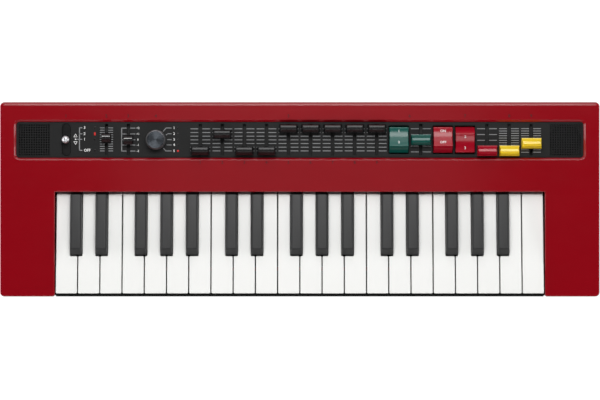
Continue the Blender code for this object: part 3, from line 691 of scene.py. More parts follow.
@dataclass(frozen=True)
class Metal(Finish):
    """Bare or plated metal with fine tooling marks and a little tarnish."""

    roughness: float
    marks: float = 0.12
    mark_depth: float = 0.0006
    tarnish: float = 0.12

    def shade(self, tree: ShaderTree, shader: bpy.types.Node) -> None:
        """Sets up the shader."""
        marks = tree.noise(self.marks, 3.0)
        cloud = tree.noise(4.0, 3.0)
        tree.feed(shader, "Base Color", self.tinted(tree, cloud, 1 - self.tarnish))
        tree.feed(shader, "Metallic", 1.0)
        tree.feed(shader, "Roughness", self.roughness + (marks - 0.5) * (0.5 * self.roughness))
        tree.feed(shader, "Normal", tree.bump(marks, self.mark_depth))


@dataclass(frozen=True)
class Ink(Finish):
    """Printed ink, a little uneven in its cover."""

    roughness: float = 0.5
    specular: float = 0.5

    def shade(self, tree: ShaderTree, shader: bpy.types.Node) -> None:
        """Sets up the shader."""
        tree.feed(shader, "Specular IOR Level", self.specular)
        cover = tree.noise(0.6, 3.0)
        tree.feed(shader, "Base Color", self.tinted(tree, cover, 0.88, 1.08))
        tree.feed(shader, "Roughness", self.roughness + (cover - 0.5) * 0.1)


@dataclass(frozen=True)
class Felt(Finish):
    """Pressed felt, with fibres."""

    def shade(self, tree: ShaderTree, shader: bpy.types.Node) -> None:
        """Sets up the shader."""
        fibre = tree.noise(0.25, 4.0, (4.0, 1.0, 1.0))
        tree.feed(shader, "Base Color", self.tinted(tree, fibre, 0.6, 1.3))
        tree.feed(shader, "Roughness", 0.95)
        tree.feed(shader, "Normal", tree.bump(fibre, 0.05))


@dataclass(frozen=True)
class Lens(Finish):
    """Lens of a status light, dark or lit, with its diffusing speckle."""

    glow: float = 0.0

    def shade(self, tree: ShaderTree, shader: bpy.types.Node) -> None:
        """Sets up the shader."""
        speckle = tree.noise(0.3, 2.0)
        tree.feed(shader, "Base Color", self.tinted(tree, speckle, 0.8))
        tree.feed(shader, "Roughness", 0.15 + speckle * 0.1)
        tree.feed(shader, "Emission Color", self.tinted(tree, speckle, 0.9))
        tree.feed(shader, "Emission Strength", self.glow)


@dataclass(frozen=True)
class CircuitBoard(Finish):
    """Circuit board: lacquer over tracks."""

    def shade(self, tree: ShaderTree, shader: bpy.types.Node) -> None:
        """Sets up the shader."""
        tracks = tree.cells(1.6)
        tree.feed(shader, "Base Color", self.tinted(tree, tracks, 0.7, 1.8))
        tree.feed(shader, "Roughness", 0.35 + tracks * 0.2)
        tree.feed(shader, "Normal", tree.bump(tracks, 0.03))


RED_SHELL = Moulded("red_shell", "red_plastic", (0.252, 0.0011, 0.0060), 0.15, grain=0.5, grain_depth=0.003)
BLACK_SHELL = Moulded("black_shell", "black_plastic", (0.014, 0.014, 0.015), 0.5, grain=0.6, grain_depth=0.012)
PANEL_BLACK = Moulded("panel_satin_black", "panel_black", (0.0078, 0.0080, 0.0081), 0.5, grain=0.4, mottle=0.08,
                      specular=0.22)
WHITE_KEY = Moulded("white_key_plastic", "key_white", (0.84, 0.84, 0.82), 0.22, grain=3.0, grain_depth=0.002,
                    mottle=0.008, handling=0.08)
BLACK_KEY = Moulded("black_key_plastic", "key_black", (0.032, 0.032, 0.0325), 0.34, grain=0.5, handling=0.06,
                    specular=0.2)
SLIP_BLACK = Moulded("slip_plastic", "black_plastic", (0.011, 0.011, 0.011), 0.6, grain=0.6, specular=0.2)
BLACK_CAP = Moulded("black_cap_plastic", "cap_black", (0.009, 0.009, 0.0095), 0.24, grain=0.4, handling=0.06,
                    specular=0.4)
RED_CAP = Moulded("red_cap_plastic", "cap_red", (0.32, 0.003, 0.014), 0.16, grain=0.4, specular=0.36)
TEAL_CAP = Moulded("teal_cap_plastic", "cap_teal", (0.002, 0.080, 0.064), 0.16, grain=0.4, specular=0.4)
YELLOW_CAP = Moulded("yellow_cap_plastic", "cap_yellow", (0.78, 0.55, 0.020), 0.18, grain=0.4)
RUBBER = Moulded("foot_rubber", "black_plastic", (0.018, 0.018, 0.018), 0.85, grain=0.3, grain_depth=0.02)
BOOT_RUBBER = Moulded("boot_rubber", "panel_black", (0.0100, 0.0100, 0.0100), 0.7, grain=0.3, specular=0.15)
DARK_LINER = Moulded("dark_liner", "black_plastic", (0.006, 0.006, 0.006), 0.8, grain=0.4)
CONE_PAPER = Moulded("speaker_paper", "black_plastic", (0.004, 0.004, 0.004), 0.95, grain=0.8, grain_depth=0.05,
                     specular=0.2)
SOCKET_BLACK = Moulded("socket_plastic", "black_plastic", (0.012, 0.012, 0.012), 0.4, grain=0.5)
SPUN = Metal("spun_dark_metal", "spun_metal", (0.060, 0.067, 0.076), 0.34)
KNOB_GREY = Moulded("knob_plastic", "spun_metal", (0.050, 0.051, 0.053), 0.4, grain=0.4)
SLIDER_FRAME = Moulded("slider_frame_plastic", "black_plastic", (0.014, 0.014, 0.014), 0.6, grain=0.5)
PLATED = Metal("bright_plate", "bright_metal", (0.62, 0.62, 0.64), 0.42, mark_depth=0.0002, tarnish=0.05)
NICKEL = Metal("nickel_plate", "bright_metal", (0.66, 0.63, 0.58), 0.22)
STEEL = Metal("dark_steel", "bright_metal", (0.16, 0.16, 0.17), 0.35)
PALE_INK = Ink("pale_ink", "panel_black", (0.25, 0.255, 0.262))
WHITE_INK = Ink("white_ink", "panel_black", (0.80, 0.80, 0.79))
DARK_INK = Ink("dark_ink", "red_plastic", (0.085, 0.010, 0.012), 0.3, 0.15)
RED_FELT = Felt("red_felt", "red_plastic", (0.22, 0.02, 0.02))
LIT_LENS = Lens("lit_red_lens", "cap_red", (0.50, 0.022, 0.018), 0.28)
DARK_LENS = Lens("dark_lens", "panel_black", (0.010, 0.007, 0.007))
BOARD = CircuitBoard("board_lacquer", "black_plastic", (0.004, 0.010, 0.006))


# Geometry Nodes


class GeometryTree(Tree):
    """A Geometry Nodes tree with named inputs, which ends in Realize Instances and Set Material."""

    def __init__(self, name: str, inputs: dict[str, str]) -> None:
        """Makes the tree.

        Args:
            name: The tree's name.
            inputs: The kind of socket of each named input, before the material's.
        """
        super().__init__(bpy.data.node_groups.new(name, "GeometryNodeTree"))
        face = self.tree.interface
        face.new_socket("Geometry", in_out="OUTPUT", socket_type="NodeSocketGeometry")
        for label, kind in {**inputs, "Material": "Material"}.items():
            face.new_socket(label, in_out="INPUT", socket_type=f"NodeSocket{kind}")
        self.start = self.tree.nodes.new("NodeGroupInput")

    def given(self, label: str) -> Term:
        """One of the tree's inputs."""
        return self.take(self.start, label)

    def given_object(self, label: str) -> Term:
        """The geometry of the object in one of the tree's inputs."""
        return self.take(self.node("GeometryNodeObjectInfo", None, {"Object": self.given(label)}), "Geometry")

    def line(self, count: Term, start: Term | Point, step: Term) -> Term:
        """Points in a row.

        Args:
            count: How many there are.
            start: Where the first one is.
            step: The way from each to the next.

        Returns:
            The points.
        """
        inputs = {"Count": count, "Start Location": start, "Offset": step}
        return self.take(self.node("GeometryNodeMeshLine", {"mode": "OFFSET"}, inputs))

    def laid(self, points: Term, instance: Term, **others: Term) -> Term:
        """Copies of a geometry on points, with any other inputs of the node."""
        inputs = {"Points": points, "Instance": instance, **others}
        return self.take(self.node("GeometryNodeInstanceOnPoints", None, inputs))

    def close(self, shape: Term) -> "GeometryTree":
        """Ends the tree with a shape.

        Args:
            shape: The geometry, instances among it.

        Returns:
            This tree.
        """
        real = self.take(self.node("GeometryNodeRealizeInstances", None, {"Geometry": shape}))
        dressed = self.node("GeometryNodeSetMaterial", None, {"Geometry": real, "Material": self.given("Material")})
        end = self.tree.nodes.new("NodeGroupOutput")
        self.feed(end, "Geometry", self.take(dressed))
        return self

    def run(self, values: dict[str, Any], points: Iterable[Point] = ()) -> Mesh:
        """Runs the tree once.

        Args:
            values: The value of each named input.
            points: The vertices that its Geometry input holds, where it has one.

        Returns:
            The result as a plain mesh.
        """
        base = bpy.data.meshes.new(self.tree.name)
        base.from_pydata(list(points), [], [])
        obj = loose(base, self.tree.name)
        modifier = obj.modifiers.new(self.tree.name, "NODES")
        modifier.node_group = self.tree
        for item in self.tree.interface.items_tree:
            if item.in_out == "INPUT" and item.name in values:
                modifier[item.identifier] = values[item.name]
        return evaluated(obj)


def grid_tree() -> GeometryTree:
    """Tree that lays copies of a cell in a square grid about the origin."""
    tree = GeometryTree("cell_grid", {"Cell": "Object", "Count": "Int", "Pitch": "Float"})
    count = tree.given("Count")
    span = (count - 1.0) * tree.given("Pitch")
    grid = tree.node("GeometryNodeMeshGrid", None,
                     {"Size X": span, "Size Y": span, "Vertices X": count, "Vertices Y": count})
    return tree.close(tree.laid(tree.take(grid), tree.given_object("Cell")))


def scale_tree() -> GeometryTree:
    """Tree that prints tick rows on both sides of each slot of a bank."""
    tree = GeometryTree("tick_rows", {
        "Columns": "Int", "Column Pitch": "Float", "Rows": "Int", "Row Pitch": "Float", "Tick Length": "Float",
        "Tick Width": "Float", "Slot Gap": "Float", "Thickness": "Float",
    })
    columns = tree.line(tree.given("Columns"), (0.0, 0.0, 0.0), tree.vector(tree.given("Column Pitch"), 0.0, 0.0))
    drop = (tree.given("Rows") - 1.0) * tree.given("Row Pitch") * -0.5
    rows = tree.line(tree.given("Rows"), tree.vector(0.0, drop, 0.0), tree.vector(0.0, tree.given("Row Pitch"), 0.0))
    spots = tree.node("GeometryNodeRealizeInstances", None, {"Geometry": tree.laid(columns, rows)})
    length = tree.given("Tick Length")
    tick = tree.node("GeometryNodeMeshCube", None,
                     {"Size": tree.vector(length, tree.given("Tick Width"), tree.given("Thickness"))})
    reach = tree.given("Slot Gap") + length * 0.5
    pair = tree.node("GeometryNodeJoinGeometry")
    for side in (reach, -reach):
        moved = tree.node("GeometryNodeTransform", None,
                          {"Geometry": tree.take(tick), "Translation": tree.vector(side, 0.0, 0.0)})
        tree.feed(pair, "Geometry", tree.take(moved))
    return tree.close(tree.laid(tree.take(spots), tree.take(pair)))


def row_tree() -> GeometryTree:
    """Tree that sets copies of a piece in a row about the origin."""
    tree = GeometryTree("piece_row", {"Piece": "Object", "Count": "Int", "Pitch": "Float"})
    count, pitch = tree.given("Count"), tree.given("Pitch")
    start = (count - 1.0) * pitch * -0.5
    line = tree.line(count, tree.vector(start, 0.0, 0.0), tree.vector(pitch, 0.0, 0.0))
    return tree.close(tree.laid(line, tree.given_object("Piece")))


def screw_tree() -> GeometryTree:
    """Tree that sets a screw on each point, each turned by its own amount."""
    tree = GeometryTree("screws", {"Geometry": "Geometry", "Screw": "Object", "Seed": "Int"})
    turn = tree.node("FunctionNodeRandomValue", {"data_type": "FLOAT"},
                     {2: 0.0, 3: math.pi, "Seed": tree.given("Seed")})
    spin = tree.vector(0.0, 0.0, tree.take(turn, 1))
    return tree.close(tree.laid(tree.given("Geometry"), tree.given_object("Screw"), Rotation=spin))


# The workshop


class Workshop:
    """Turns meshes into finished pieces of the object."""

    def __init__(self, axes: Axes) -> None:
        """Keeps the axes and makes the shared trees."""
        self.axes = axes
        self.grid = grid_tree()
        self.scale = scale_tree()
        self.row = row_tree()
        self.screws = screw_tree()

    def piece(self, name: str, shape: Form | Mesh, finish: Finish, body: str = "case",
              replaces: Sequence[str] = (), level: bool = False) -> bpy.types.Object:
        """Places, dresses and mounts one piece.

        Args:
            name: The piece's name.
            shape: Its form or mesh, in millimetres.
            finish: Its finish.
            body: The CAD body that it rides on.
            replaces: CAD nodes that it stands for.
            level: Whether it is level with the table, not in the deck's axes.

        Returns:
            The piece.
        """
        mesh = shape.mesh(name) if isinstance(shape, Form) else shape
        mesh.name = name
        mesh.transform(self.axes.level if level else self.axes.deck)
        mesh.materials.clear()
        mesh.materials.append(finish.material())
        obj = loose(mesh, name)
        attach(obj, body)
        if replaces:
            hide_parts(*replaces)
        log.info("%s: %d faces, %s, rides on %s", name, len(mesh.polygons), finish.name, body)
        return obj

    def mover(self, node: str, part: str, shape: Form | Mesh, finish: Finish) -> bpy.types.Object:
        """The piece that stands for a moving CAD node, on that node's body."""
        return self.piece(f"{node}_{part}", shape, finish, node, [node])

    def repeated(self, tree: GeometryTree, key: str, unit: Mesh, finish: Finish,
                 values: dict[str, Any], points: Iterable[Point] = ()) -> Mesh:
        """Copies of a small mesh, laid out by one of the trees.

        Args:
            tree: The tree.
            key: The input that takes the small mesh.
            unit: The small mesh.
            finish: Its finish.
            values: The tree's other inputs.
            points: Points for a tree that takes them.

        Returns:
            The copies as one mesh.
        """
        seed = loose(unit, f"{tree.tree.name}_unit")
        made = tree.run({key: seed, "Material": finish.material(), **values}, points)
        bpy.data.objects.remove(seed, do_unlink=True)
        return smoothed(made, SHARP_COPY)


def key_top(y: float) -> float:
    """Height of a white key's top in the deck's axes."""
    return KEY_FRONT_RISE - (y - KEY_FRONT) * KEY_SLOPE


def key_bottom(y: float) -> float:
    """Height of a key's lower edge in the deck's axes."""
    front = KEY_FRONT_RISE - KEY_FRONT_HEIGHT
    return front + (KEY_TAIL - front) * (y - KEY_FRONT) / (KEY_REAR - KEY_FRONT)


# Sub-assemblies


@dataclass
class UpperCase:
    """The red shell: deck, cheeks, key well and chamfered panel opening."""

    side_edge: float = 1.3
    rear_edge: float = 2.8
    well_edge: float = 0.9
    front_edge: float = 0.8
    corner: float = 4.0
    well_front_corner: float = 1.8
    well_rear_corner: float = 1.1
    wall: float = 2.4
    well_wall: float = 1.6
    lip: float = 2.5
    deck_thickness: float = 2.7
    lip_clearance: float = 0.3
    rim_chamfer: float = 1.7
    opening: tuple[float, float, float] = (250.8, 15.9, 3.0)
    group_numbers: tuple[float, ...] = (
        LEVER_X, VOLUME_X, OCTAVE_X, KNOB_X, -10.0, 97.0, ROCKER_PLACES[2], DISTORTION_X, REVERB_X,
    )
    group_row: float = 159.5
    drawbar_row: float = 118.4

    def _in_well(self, point: PathPoint) -> bool:
        """Whether a point of the outline is on the key well's edge."""
        return abs(point.x) < WELL_HALF + self.well_front_corner and self.front_edge < point.y < WELL_DEPTH + 1

    def _outer_steps(self, point: PathPoint) -> list[Pair]:
        """Rings of the outline: rounded top edge, wall, and inner wall up to the deck's underside."""
        radius = self.side_edge + (self.rear_edge - self.side_edge) * max(0.0, -point.ny)
        bottom, thick = SHELL_BOTTOM, self.wall
        if point.y < WELL_DEPTH + 1:
            radius = self.side_edge + (self.front_edge - self.side_edge) * max(0.0, point.ny)
        if self._in_well(point):
            radius, thick = self.well_edge, self.well_wall
            if point.ny > 0.5:
                bottom, thick = key_top(WELL_DEPTH) + self.lip_clearance, self.lip
        rings = [(inset, -drop) for inset, drop in fillet(radius, 5, 0.35)]
        rings += [(0.0, bottom + 0.45), (0.25, bottom), (thick, bottom), (thick, -self.deck_thickness)]
        return rings

    def _rim_steps(self) -> list[Pair]:
        """Rings of the panel opening: a chamfer with its edges broken, then the wall."""
        cut = self.rim_chamfer
        return [
            (cut + 0.45, 0.0), (cut + 0.12, 0.0), (cut, -0.05), (cut - 0.10, -0.14), (0.12, 0.08 - cut),
            (0.03, -cut - 0.02), (0.0, -cut - 0.15), (0.0, -self.deck_thickness),
        ]

    def shell(self) -> Mesh:
        """The shell's mesh."""
        side, front = WELL_HALF, self.well_front_corner
        outline = rounded_path([
            (-CASE_HALF, 0.0, self.corner), (-side, 0.0, front), (-side, WELL_DEPTH, self.well_rear_corner),
            (side, WELL_DEPTH, self.well_rear_corner), (side, 0.0, front), (CASE_HALF, 0.0, self.corner),
            (CASE_HALF, CASE_DEPTH, self.corner), (-CASE_HALF, CASE_DEPTH, self.corner),
        ], steps=6)
        half_x, half_y, radius = self.opening
        opening = rectangle(half_x, half_y, radius, (0.0, PANEL_MIDDLE), hole=True, steps=6)
        rims = [Rim(outline, self._outer_steps), Rim(opening, self._rim_steps())]
        return Form().plate(rims).mesh("shell", SHARP_SHELL)

    def deck_marks(self) -> Mesh:
        """Plain numbers on the deck: a number over each group of controls and under each drawbar."""
        form = Form()
        for number, x in enumerate(self.group_numbers, 1):
            form.put(lettering(str(number), 2.6, 0.14), at(x, self.group_row, 0.01))
        for number, x in enumerate(DRAWBAR_PLACES, 1):
            form.put(lettering(str(number), 2.5, 0.14), at(x, self.drawbar_row, 0.01))
        return form.mesh("deck_marks")

    def build(self, shop: Workshop) -> None:
        """Makes the shell and its print."""
        shop.piece("red_upper_shell", self.shell(), RED_SHELL, replaces=["upper_case"])
        shop.piece("deck_numbers", self.deck_marks(), DARK_INK)


class SocketKind(Enum):
    """The rear sockets: collar radius, bore radius, how far the collar stands out, and the collar's finish."""

    JACK = (6.0, 3.3, 0.9, NICKEL)
    SMALL_JACK = (3.4, 1.8, 0.7, NICKEL)
    BARREL = (5.2, 3.5, 0.6, SOCKET_BLACK)
    ROUND_LEAD = (6.6, 4.7, 0.6, SOCKET_BLACK)

    @property
    def hole(self) -> float:
        """Radius of the hole in the rear wall."""
        return self.value[1] + SOCKET_PLAY


SOCKETS = (
    ("pedal_socket", 30.0, SocketKind.JACK), ("right_output_socket", -30.0, SocketKind.JACK),
    ("left_output_socket", -54.0, SocketKind.JACK), ("headphone_socket", -84.0, SocketKind.JACK),
    ("aux_socket", 2.0, SocketKind.SMALL_JACK), ("power_inlet", 206.0, SocketKind.BARREL),
    ("control_lead_socket", 66.0, SocketKind.ROUND_LEAD),
)


@dataclass
class LowerCase:
    """The black tray: floor, walls, key rails, slip, battery lid, feet and screws."""

    front: float = 0.3
    half: float = 263.8
    top: float = -22.3
    floor: float = 3.0
    floor_thickness: float = 2.5
    wall: float = 2.4
    belly: float = 6.0
    edge: float = 0.7
    stop_rail: Pair = (22.0, 26.0)
    stop_gap: float = 0.6
    rail_half: float = WELL_HALF - 0.5
    square_hole: tuple[float, float, float] = (104.0, 4.3, 3.9)
    lid: Pair = (112.0, 62.0)
    lid_recess: float = 1.2
    screw_well: float = 4.2
    screw_depth: float = 1.6
    lid_ribs: tuple[int, float] = (13, 2.2)
    floor_ribs: tuple[int, float] = (15, 3.2)
    floor_rib_banks: Pair = (-190.0, 190.0)
    foot_places: tuple[Pair, ...] = ((-231.0, -63.7), (231.0, -63.7), (-231.0, 59.3), (231.0, 59.3))
    screw_places: tuple[Pair, ...] = (
        (-246.0, -70.0), (246.0, -70.0), (-246.0, 72.0), (246.0, 72.0), (-150.0, -70.0), (150.0, -70.0),
        (-150.0, 72.0), (150.0, 72.0), (0.0, -70.0), (0.0, 72.0), (-120.0, 0.0), (120.0, 0.0),
    )

    def _belly(self, axes: Axes, inset: float, lift: float) -> Form:
        """The tray's outline between its sides, with the long lower edges of its sides cut back."""
        half = self.half - inset
        front, rear = self.front + inset, REAR_WALL - inset
        top = self.top + (4.0 if inset else 0.0)
        stations = ((-half, self.belly), (-half + self.belly, 0.0), (half - self.belly, 0.0), (half, self.belly))
        rings = []
        for x, rise in stations:
            level = self.floor + lift + rise
            rings.append([
                (x, front, top), (x, rear, top), (x, rear, axes.deck_height(level, rear)),
                (x, front, axes.deck_height(level, front)),
            ])
        return Form().loft(rings)

    def _cutters(self, axes: Axes) -> list[Mesh]:
        """The tray's hollow, socket holes, lid recess and screw wells."""
        z = axes.deck_height(SOCKET_HEIGHT, REAR_WALL)
        holes = Form()
        for _, x, kind in SOCKETS:
            profile = [(kind.hole, -8.0), (kind.hole, 4.0)]
            holes.put(Form().lathe(profile, 32).mesh("bore"), facing_rear(x, REAR_WALL, z))
        x, half_x, half_z = self.square_hole
        holes.box((x - half_x, REAR_WALL - 8.0, z - half_z), (x + half_x, REAR_WALL + 4.0, z + half_z))
        down = Form().prism(rectangle(self.lid[0] / 2, self.lid[1] / 2, 2.0), -2.0, self.floor + self.lid_recess)
        for place in self.screw_places:
            down.prism(circle(self.screw_well, 24, place), -2.0, self.floor + self.screw_depth)
        return [
            self._belly(axes, self.wall, self.floor_thickness).mesh("hollow"),
            holes.mesh("holes"),
            down.moved(axes.from_level()).mesh("wells"),
        ]

    def tray(self, axes: Axes) -> Mesh:
        """The tray's mesh."""
        body = self._belly(axes, 0.0, 0.0).soften(self.edge, 3, 20.0).mesh("tray")
        return carved(body, self._cutters(axes))

    def rails(self, axes: Axes) -> Form:
        """The web under the fulcrum rod and the stop rail."""
        half = self.rail_half
        into_floor = self.floor + self.floor_thickness - 0.2
        form = Form()
        form.box((-half, PIVOT_Y - 1.1, axes.deck_height(into_floor, PIVOT_Y)), (half, PIVOT_Y + 1.1, PIVOT_Z - 1.0))
        near, far = self.stop_rail
        return form.box((-half, near, axes.deck_height(into_floor, near)), (half, far, self.stop_height()), 0.3)

    def stop_height(self) -> float:
        """Height of the stop rail's top, clear of the pressed keys."""
        reach, bottom = self.stop_rail[1] - PIVOT_Y, key_bottom(self.stop_rail[1])
        pressed = PIVOT_Z + reach * math.sin(KEY_TRAVEL) + (bottom - PIVOT_Z) * math.cos(KEY_TRAVEL)
        return pressed - self.stop_gap

    def slip(self) -> Mesh:
        """The slip in front of the keys."""
        half = WELL_HALF - 0.6
        return Form().box((-half, self.front - 0.45, self.top - 1.6), (half, self.front + 1.4, -8.02), 0.2).mesh("slip")

    def battery_lid(self, shop: Workshop) -> None:
        """The lid in its recess, with grip ribs and a latch tongue."""
        half_x, half_y = self.lid[0] / 2 - 0.4, self.lid[1] / 2 - 0.4
        base = self.floor + self.lid_recess
        plate = Form().prism(rectangle(half_x, half_y, 1.7), base - 1.15, base - 0.02, 0.25)
        plate.prism(rectangle(9.0, 3.2, 1.4, (0.0, -half_y + 4.6)), base - 1.4, base - 1.0, 0.15)
        shop.piece("battery_lid", plate, BLACK_SHELL, level=True)
        rib = Form().prism(rectangle(0.55, 7.0, 0.5), base - 1.45, base - 1.1, 0.15).mesh("rib")
        count, pitch = self.lid_ribs
        ribs = shop.repeated(shop.row, "Piece", rib, BLACK_SHELL, {"Count": count, "Pitch": pitch})
        ribs.transform(at(0.0, half_y - 12.0, 0.0))
        shop.piece("battery_lid_ribs", ribs, BLACK_SHELL, level=True)

    def ribs(self, shop: Workshop) -> None:
        """Two banks of stiffening ribs under the floor."""
        rib = Form().prism(rectangle(0.7, 11.0, 0.6), self.floor - 0.35, self.floor + 0.3, 0.2).mesh("rib")
        form = Form()
        count, pitch = self.floor_ribs
        for x in self.floor_rib_banks:
            bank = shop.repeated(shop.row, "Piece", rib.copy(), BLACK_SHELL, {"Count": count, "Pitch": pitch})
            form.put(bank, at(x, -2.0, 0.0))
        shop.piece("underside_ribs", form, BLACK_SHELL, level=True)

    def feet(self) -> Mesh:
        """Rubber feet with a sunk middle."""
        profile = [
            (5.2, 0.9), (5.6, 0.15), (5.9, 0.0), (7.2, 0.0), (7.75, 0.25), (8.0, 0.9), (8.0, 3.4), (5.0, 3.4),
        ]
        form = Form()
        for place in self.foot_places:
            form.lathe(profile, 48, place)
        return form.mesh("feet")

    @staticmethod
    def screw() -> Mesh:
        """A pan-head screw with a cross recess, facing down."""
        profile = [(2.9, 0.0), (3.1, -0.25), (2.75, -0.85), (1.9, -1.25), (0.6, -1.4)]
        head = Form().lathe(profile, 28).mesh("screw_head")
        wide = Form().box((-1.5, -0.3, -2.0), (1.5, 0.3, -0.75)).mesh("recess_wide")
        deep = Form().box((-0.3, -1.5, -2.1), (0.3, 1.5, -0.78)).mesh("recess_deep")
        return carved(head, [wide, deep])

    def build(self, shop: Workshop) -> None:
        """Makes the tray and all that is on it."""
        axes = shop.axes
        shop.piece("black_lower_tray", self.tray(axes), BLACK_SHELL, replaces=["lower_case"])
        shop.piece("key_rails", self.rails(axes), BLACK_SHELL)
        half = self.rail_half
        rod = Form().lathe([(1.25, -half), (1.5, -half + 0.25), (1.5, half - 0.25), (1.25, half)], 20)
        rod.moved(at(0.0, PIVOT_Y, PIVOT_Z) @ ALONG_X)
        shop.piece("fulcrum_rod", rod, STEEL)
        top, (near, far) = self.stop_height(), self.stop_rail
        felt = Form().box((-half + 1.0, near + 0.3, top - 0.02), (half - 1.0, far - 0.3, top + 0.3), 0.12)
        shop.piece("stop_rail_felt", felt, RED_FELT)
        shop.piece("key_slip", self.slip(), SLIP_BLACK)
        self.battery_lid(shop)
        self.ribs(shop)
        shop.piece("rubber_feet", self.feet(), RUBBER, level=True)
        points = [(x, y, self.floor + self.screw_depth - 0.05) for x, y in self.screw_places]
        screws = shop.repeated(shop.screws, "Screw", self.screw(), STEEL, {"Seed": 7}, points)
        shop.piece("case_screws", screws, STEEL, level=True)


@dataclass
class RearSockets:
    """Collars, sleeves and contacts of the rear sockets, and the power button."""

    usb_x: float = 104.0
    button_x: float = 172.0
    number_rise: float = 10.2

    @staticmethod
    def _collar(kind: SocketKind) -> Form:
        """A ring about the bore with a tube behind it, facing up."""
        outer, bore, stand, _ = kind.value
        profile = [
            (bore, SOCKET_END), (bore + 0.9, SOCKET_END), (bore + 0.9, -2.6), (outer - 0.6, -2.6), (outer - 0.6, 0.0),
            (outer, 0.02), (outer, stand * 0.55), (outer - 0.35, stand), (bore + 0.45, stand), (bore, stand - 0.4),
        ]
        return Form().lathe(profile, loop=True)

    @staticmethod
    def _insides(kind: SocketKind) -> Form:
        """What is seen inside a socket: a back plate with its pin, pins or spring."""
        _, bore, _, _ = kind.value
        form = Form().lathe([(bore + 0.3, SOCKET_END), (bore + 0.3, -10.2)], 32)
        if kind is SocketKind.BARREL:
            return form.lathe([(0.85, -10.3), (0.85, -1.6), (0.5, -1.1)], 20)
        if kind is SocketKind.ROUND_LEAD:
            form.lathe([(bore - 1.1, -10.3), (bore - 1.1, -4.0), (bore - 1.4, -3.7)], 32)
            return form
        return form.box((-bore + 0.1, -0.8, -9.0), (-bore + 0.9, 0.8, -3.0), 0.1)

    @staticmethod
    def _lead_pins() -> Mesh:
        """Pins of the round lead socket, as low studs."""
        form = Form()
        for i in range(8):
            angle = 2 * math.pi * i / 9 + 0.9
            place = (2.2 * math.cos(angle), 2.2 * math.sin(angle))
            form.lathe([(0.4, -3.75), (0.4, -3.55)], 10, place)
        return form.mesh("pins")

    def build(self, shop: Workshop) -> None:
        """Makes every socket and the button."""
        z = shop.axes.deck_height(SOCKET_HEIGHT, REAR_WALL)
        for name, x, kind in SOCKETS:
            place = facing_rear(x, REAR_WALL, z)
            shop.piece(f"{name}_collar", self._collar(kind).moved(place).mesh("collar"), kind.value[3])
            finish = NICKEL if kind is SocketKind.BARREL else DARK_LINER
            shop.piece(f"{name}_contacts", self._insides(kind).moved(place), finish)
            if kind is SocketKind.ROUND_LEAD:
                pins = self._lead_pins()
                pins.transform(place)
                shop.piece("control_lead_pins", pins, NICKEL)
        self._computer_socket(shop, z)
        self._button(shop, z)
        form = Form()
        for number, (_, x, _) in enumerate(SOCKETS, 1):
            form.put(lettering(str(number), 2.4), facing_rear(x, REAR_WALL, z + self.number_rise) @ HALF_TURN)
        shop.piece("rear_numbers", form, PALE_INK)

    def _computer_socket(self, shop: Workshop, z: float) -> None:
        """A square computer socket: metal shell with two cut corners, and its tongue."""
        outer = [(-4.2, -3.8, 0.3), (4.2, -3.8, 0.3), (4.2, 2.4, 0.3), (2.9, 3.8, 0.3), (-2.9, 3.8, 0.3),
                 (-4.2, 2.4, 0.3)]
        path = rounded_path(outer, 2)
        steps = [(0.0, SOCKET_END), (0.0, 0.35), (0.12, 0.5), (0.45, 0.5), (0.55, 0.4), (0.55, SOCKET_END)]
        place = facing_rear(self.usb_x, REAR_WALL, z) @ HALF_TURN
        shop.piece("computer_socket_shell", Form().follow(path, steps, loop=True).moved(place), NICKEL)
        tongue = Form().box((-2.6, -1.6, SOCKET_END), (2.6, 1.4, -1.6), 0.25)
        tongue.box((-3.7, -3.3, SOCKET_END - 0.2), (3.7, 3.3, -10.4))
        shop.piece("computer_socket_tongue", tongue.moved(place), SOCKET_BLACK)

    def _button(self, shop: Workshop, z: float) -> None:
        """The power button in its bezel."""
        place = facing_rear(self.button_x, REAR_WALL, z)
        bezel = rectangle(8.2, 5.4, 1.6)
        steps = [(0.0, -0.02), (0.0, 0.35), (0.3, 0.6), (1.1, 0.6), (1.3, 0.4), (1.3, -0.02)]
        shop.piece("power_button_bezel", Form().follow(bezel, steps, loop=True).moved(place), SOCKET_BLACK)
        cap = Form().prism(rectangle(6.5, 3.7, 0.9), -0.5, 1.05, 0.35)
        shop.piece("power_button", cap.moved(place), BLACK_CAP)
        form = Form()
        for text, x in (("ON", 14.5), ("OFF", -15.5)):
            form.put(lettering(text, 2.2), facing_rear(self.button_x + x, REAR_WALL, z) @ HALF_TURN)
        shop.piece("power_marks", form, PALE_INK)


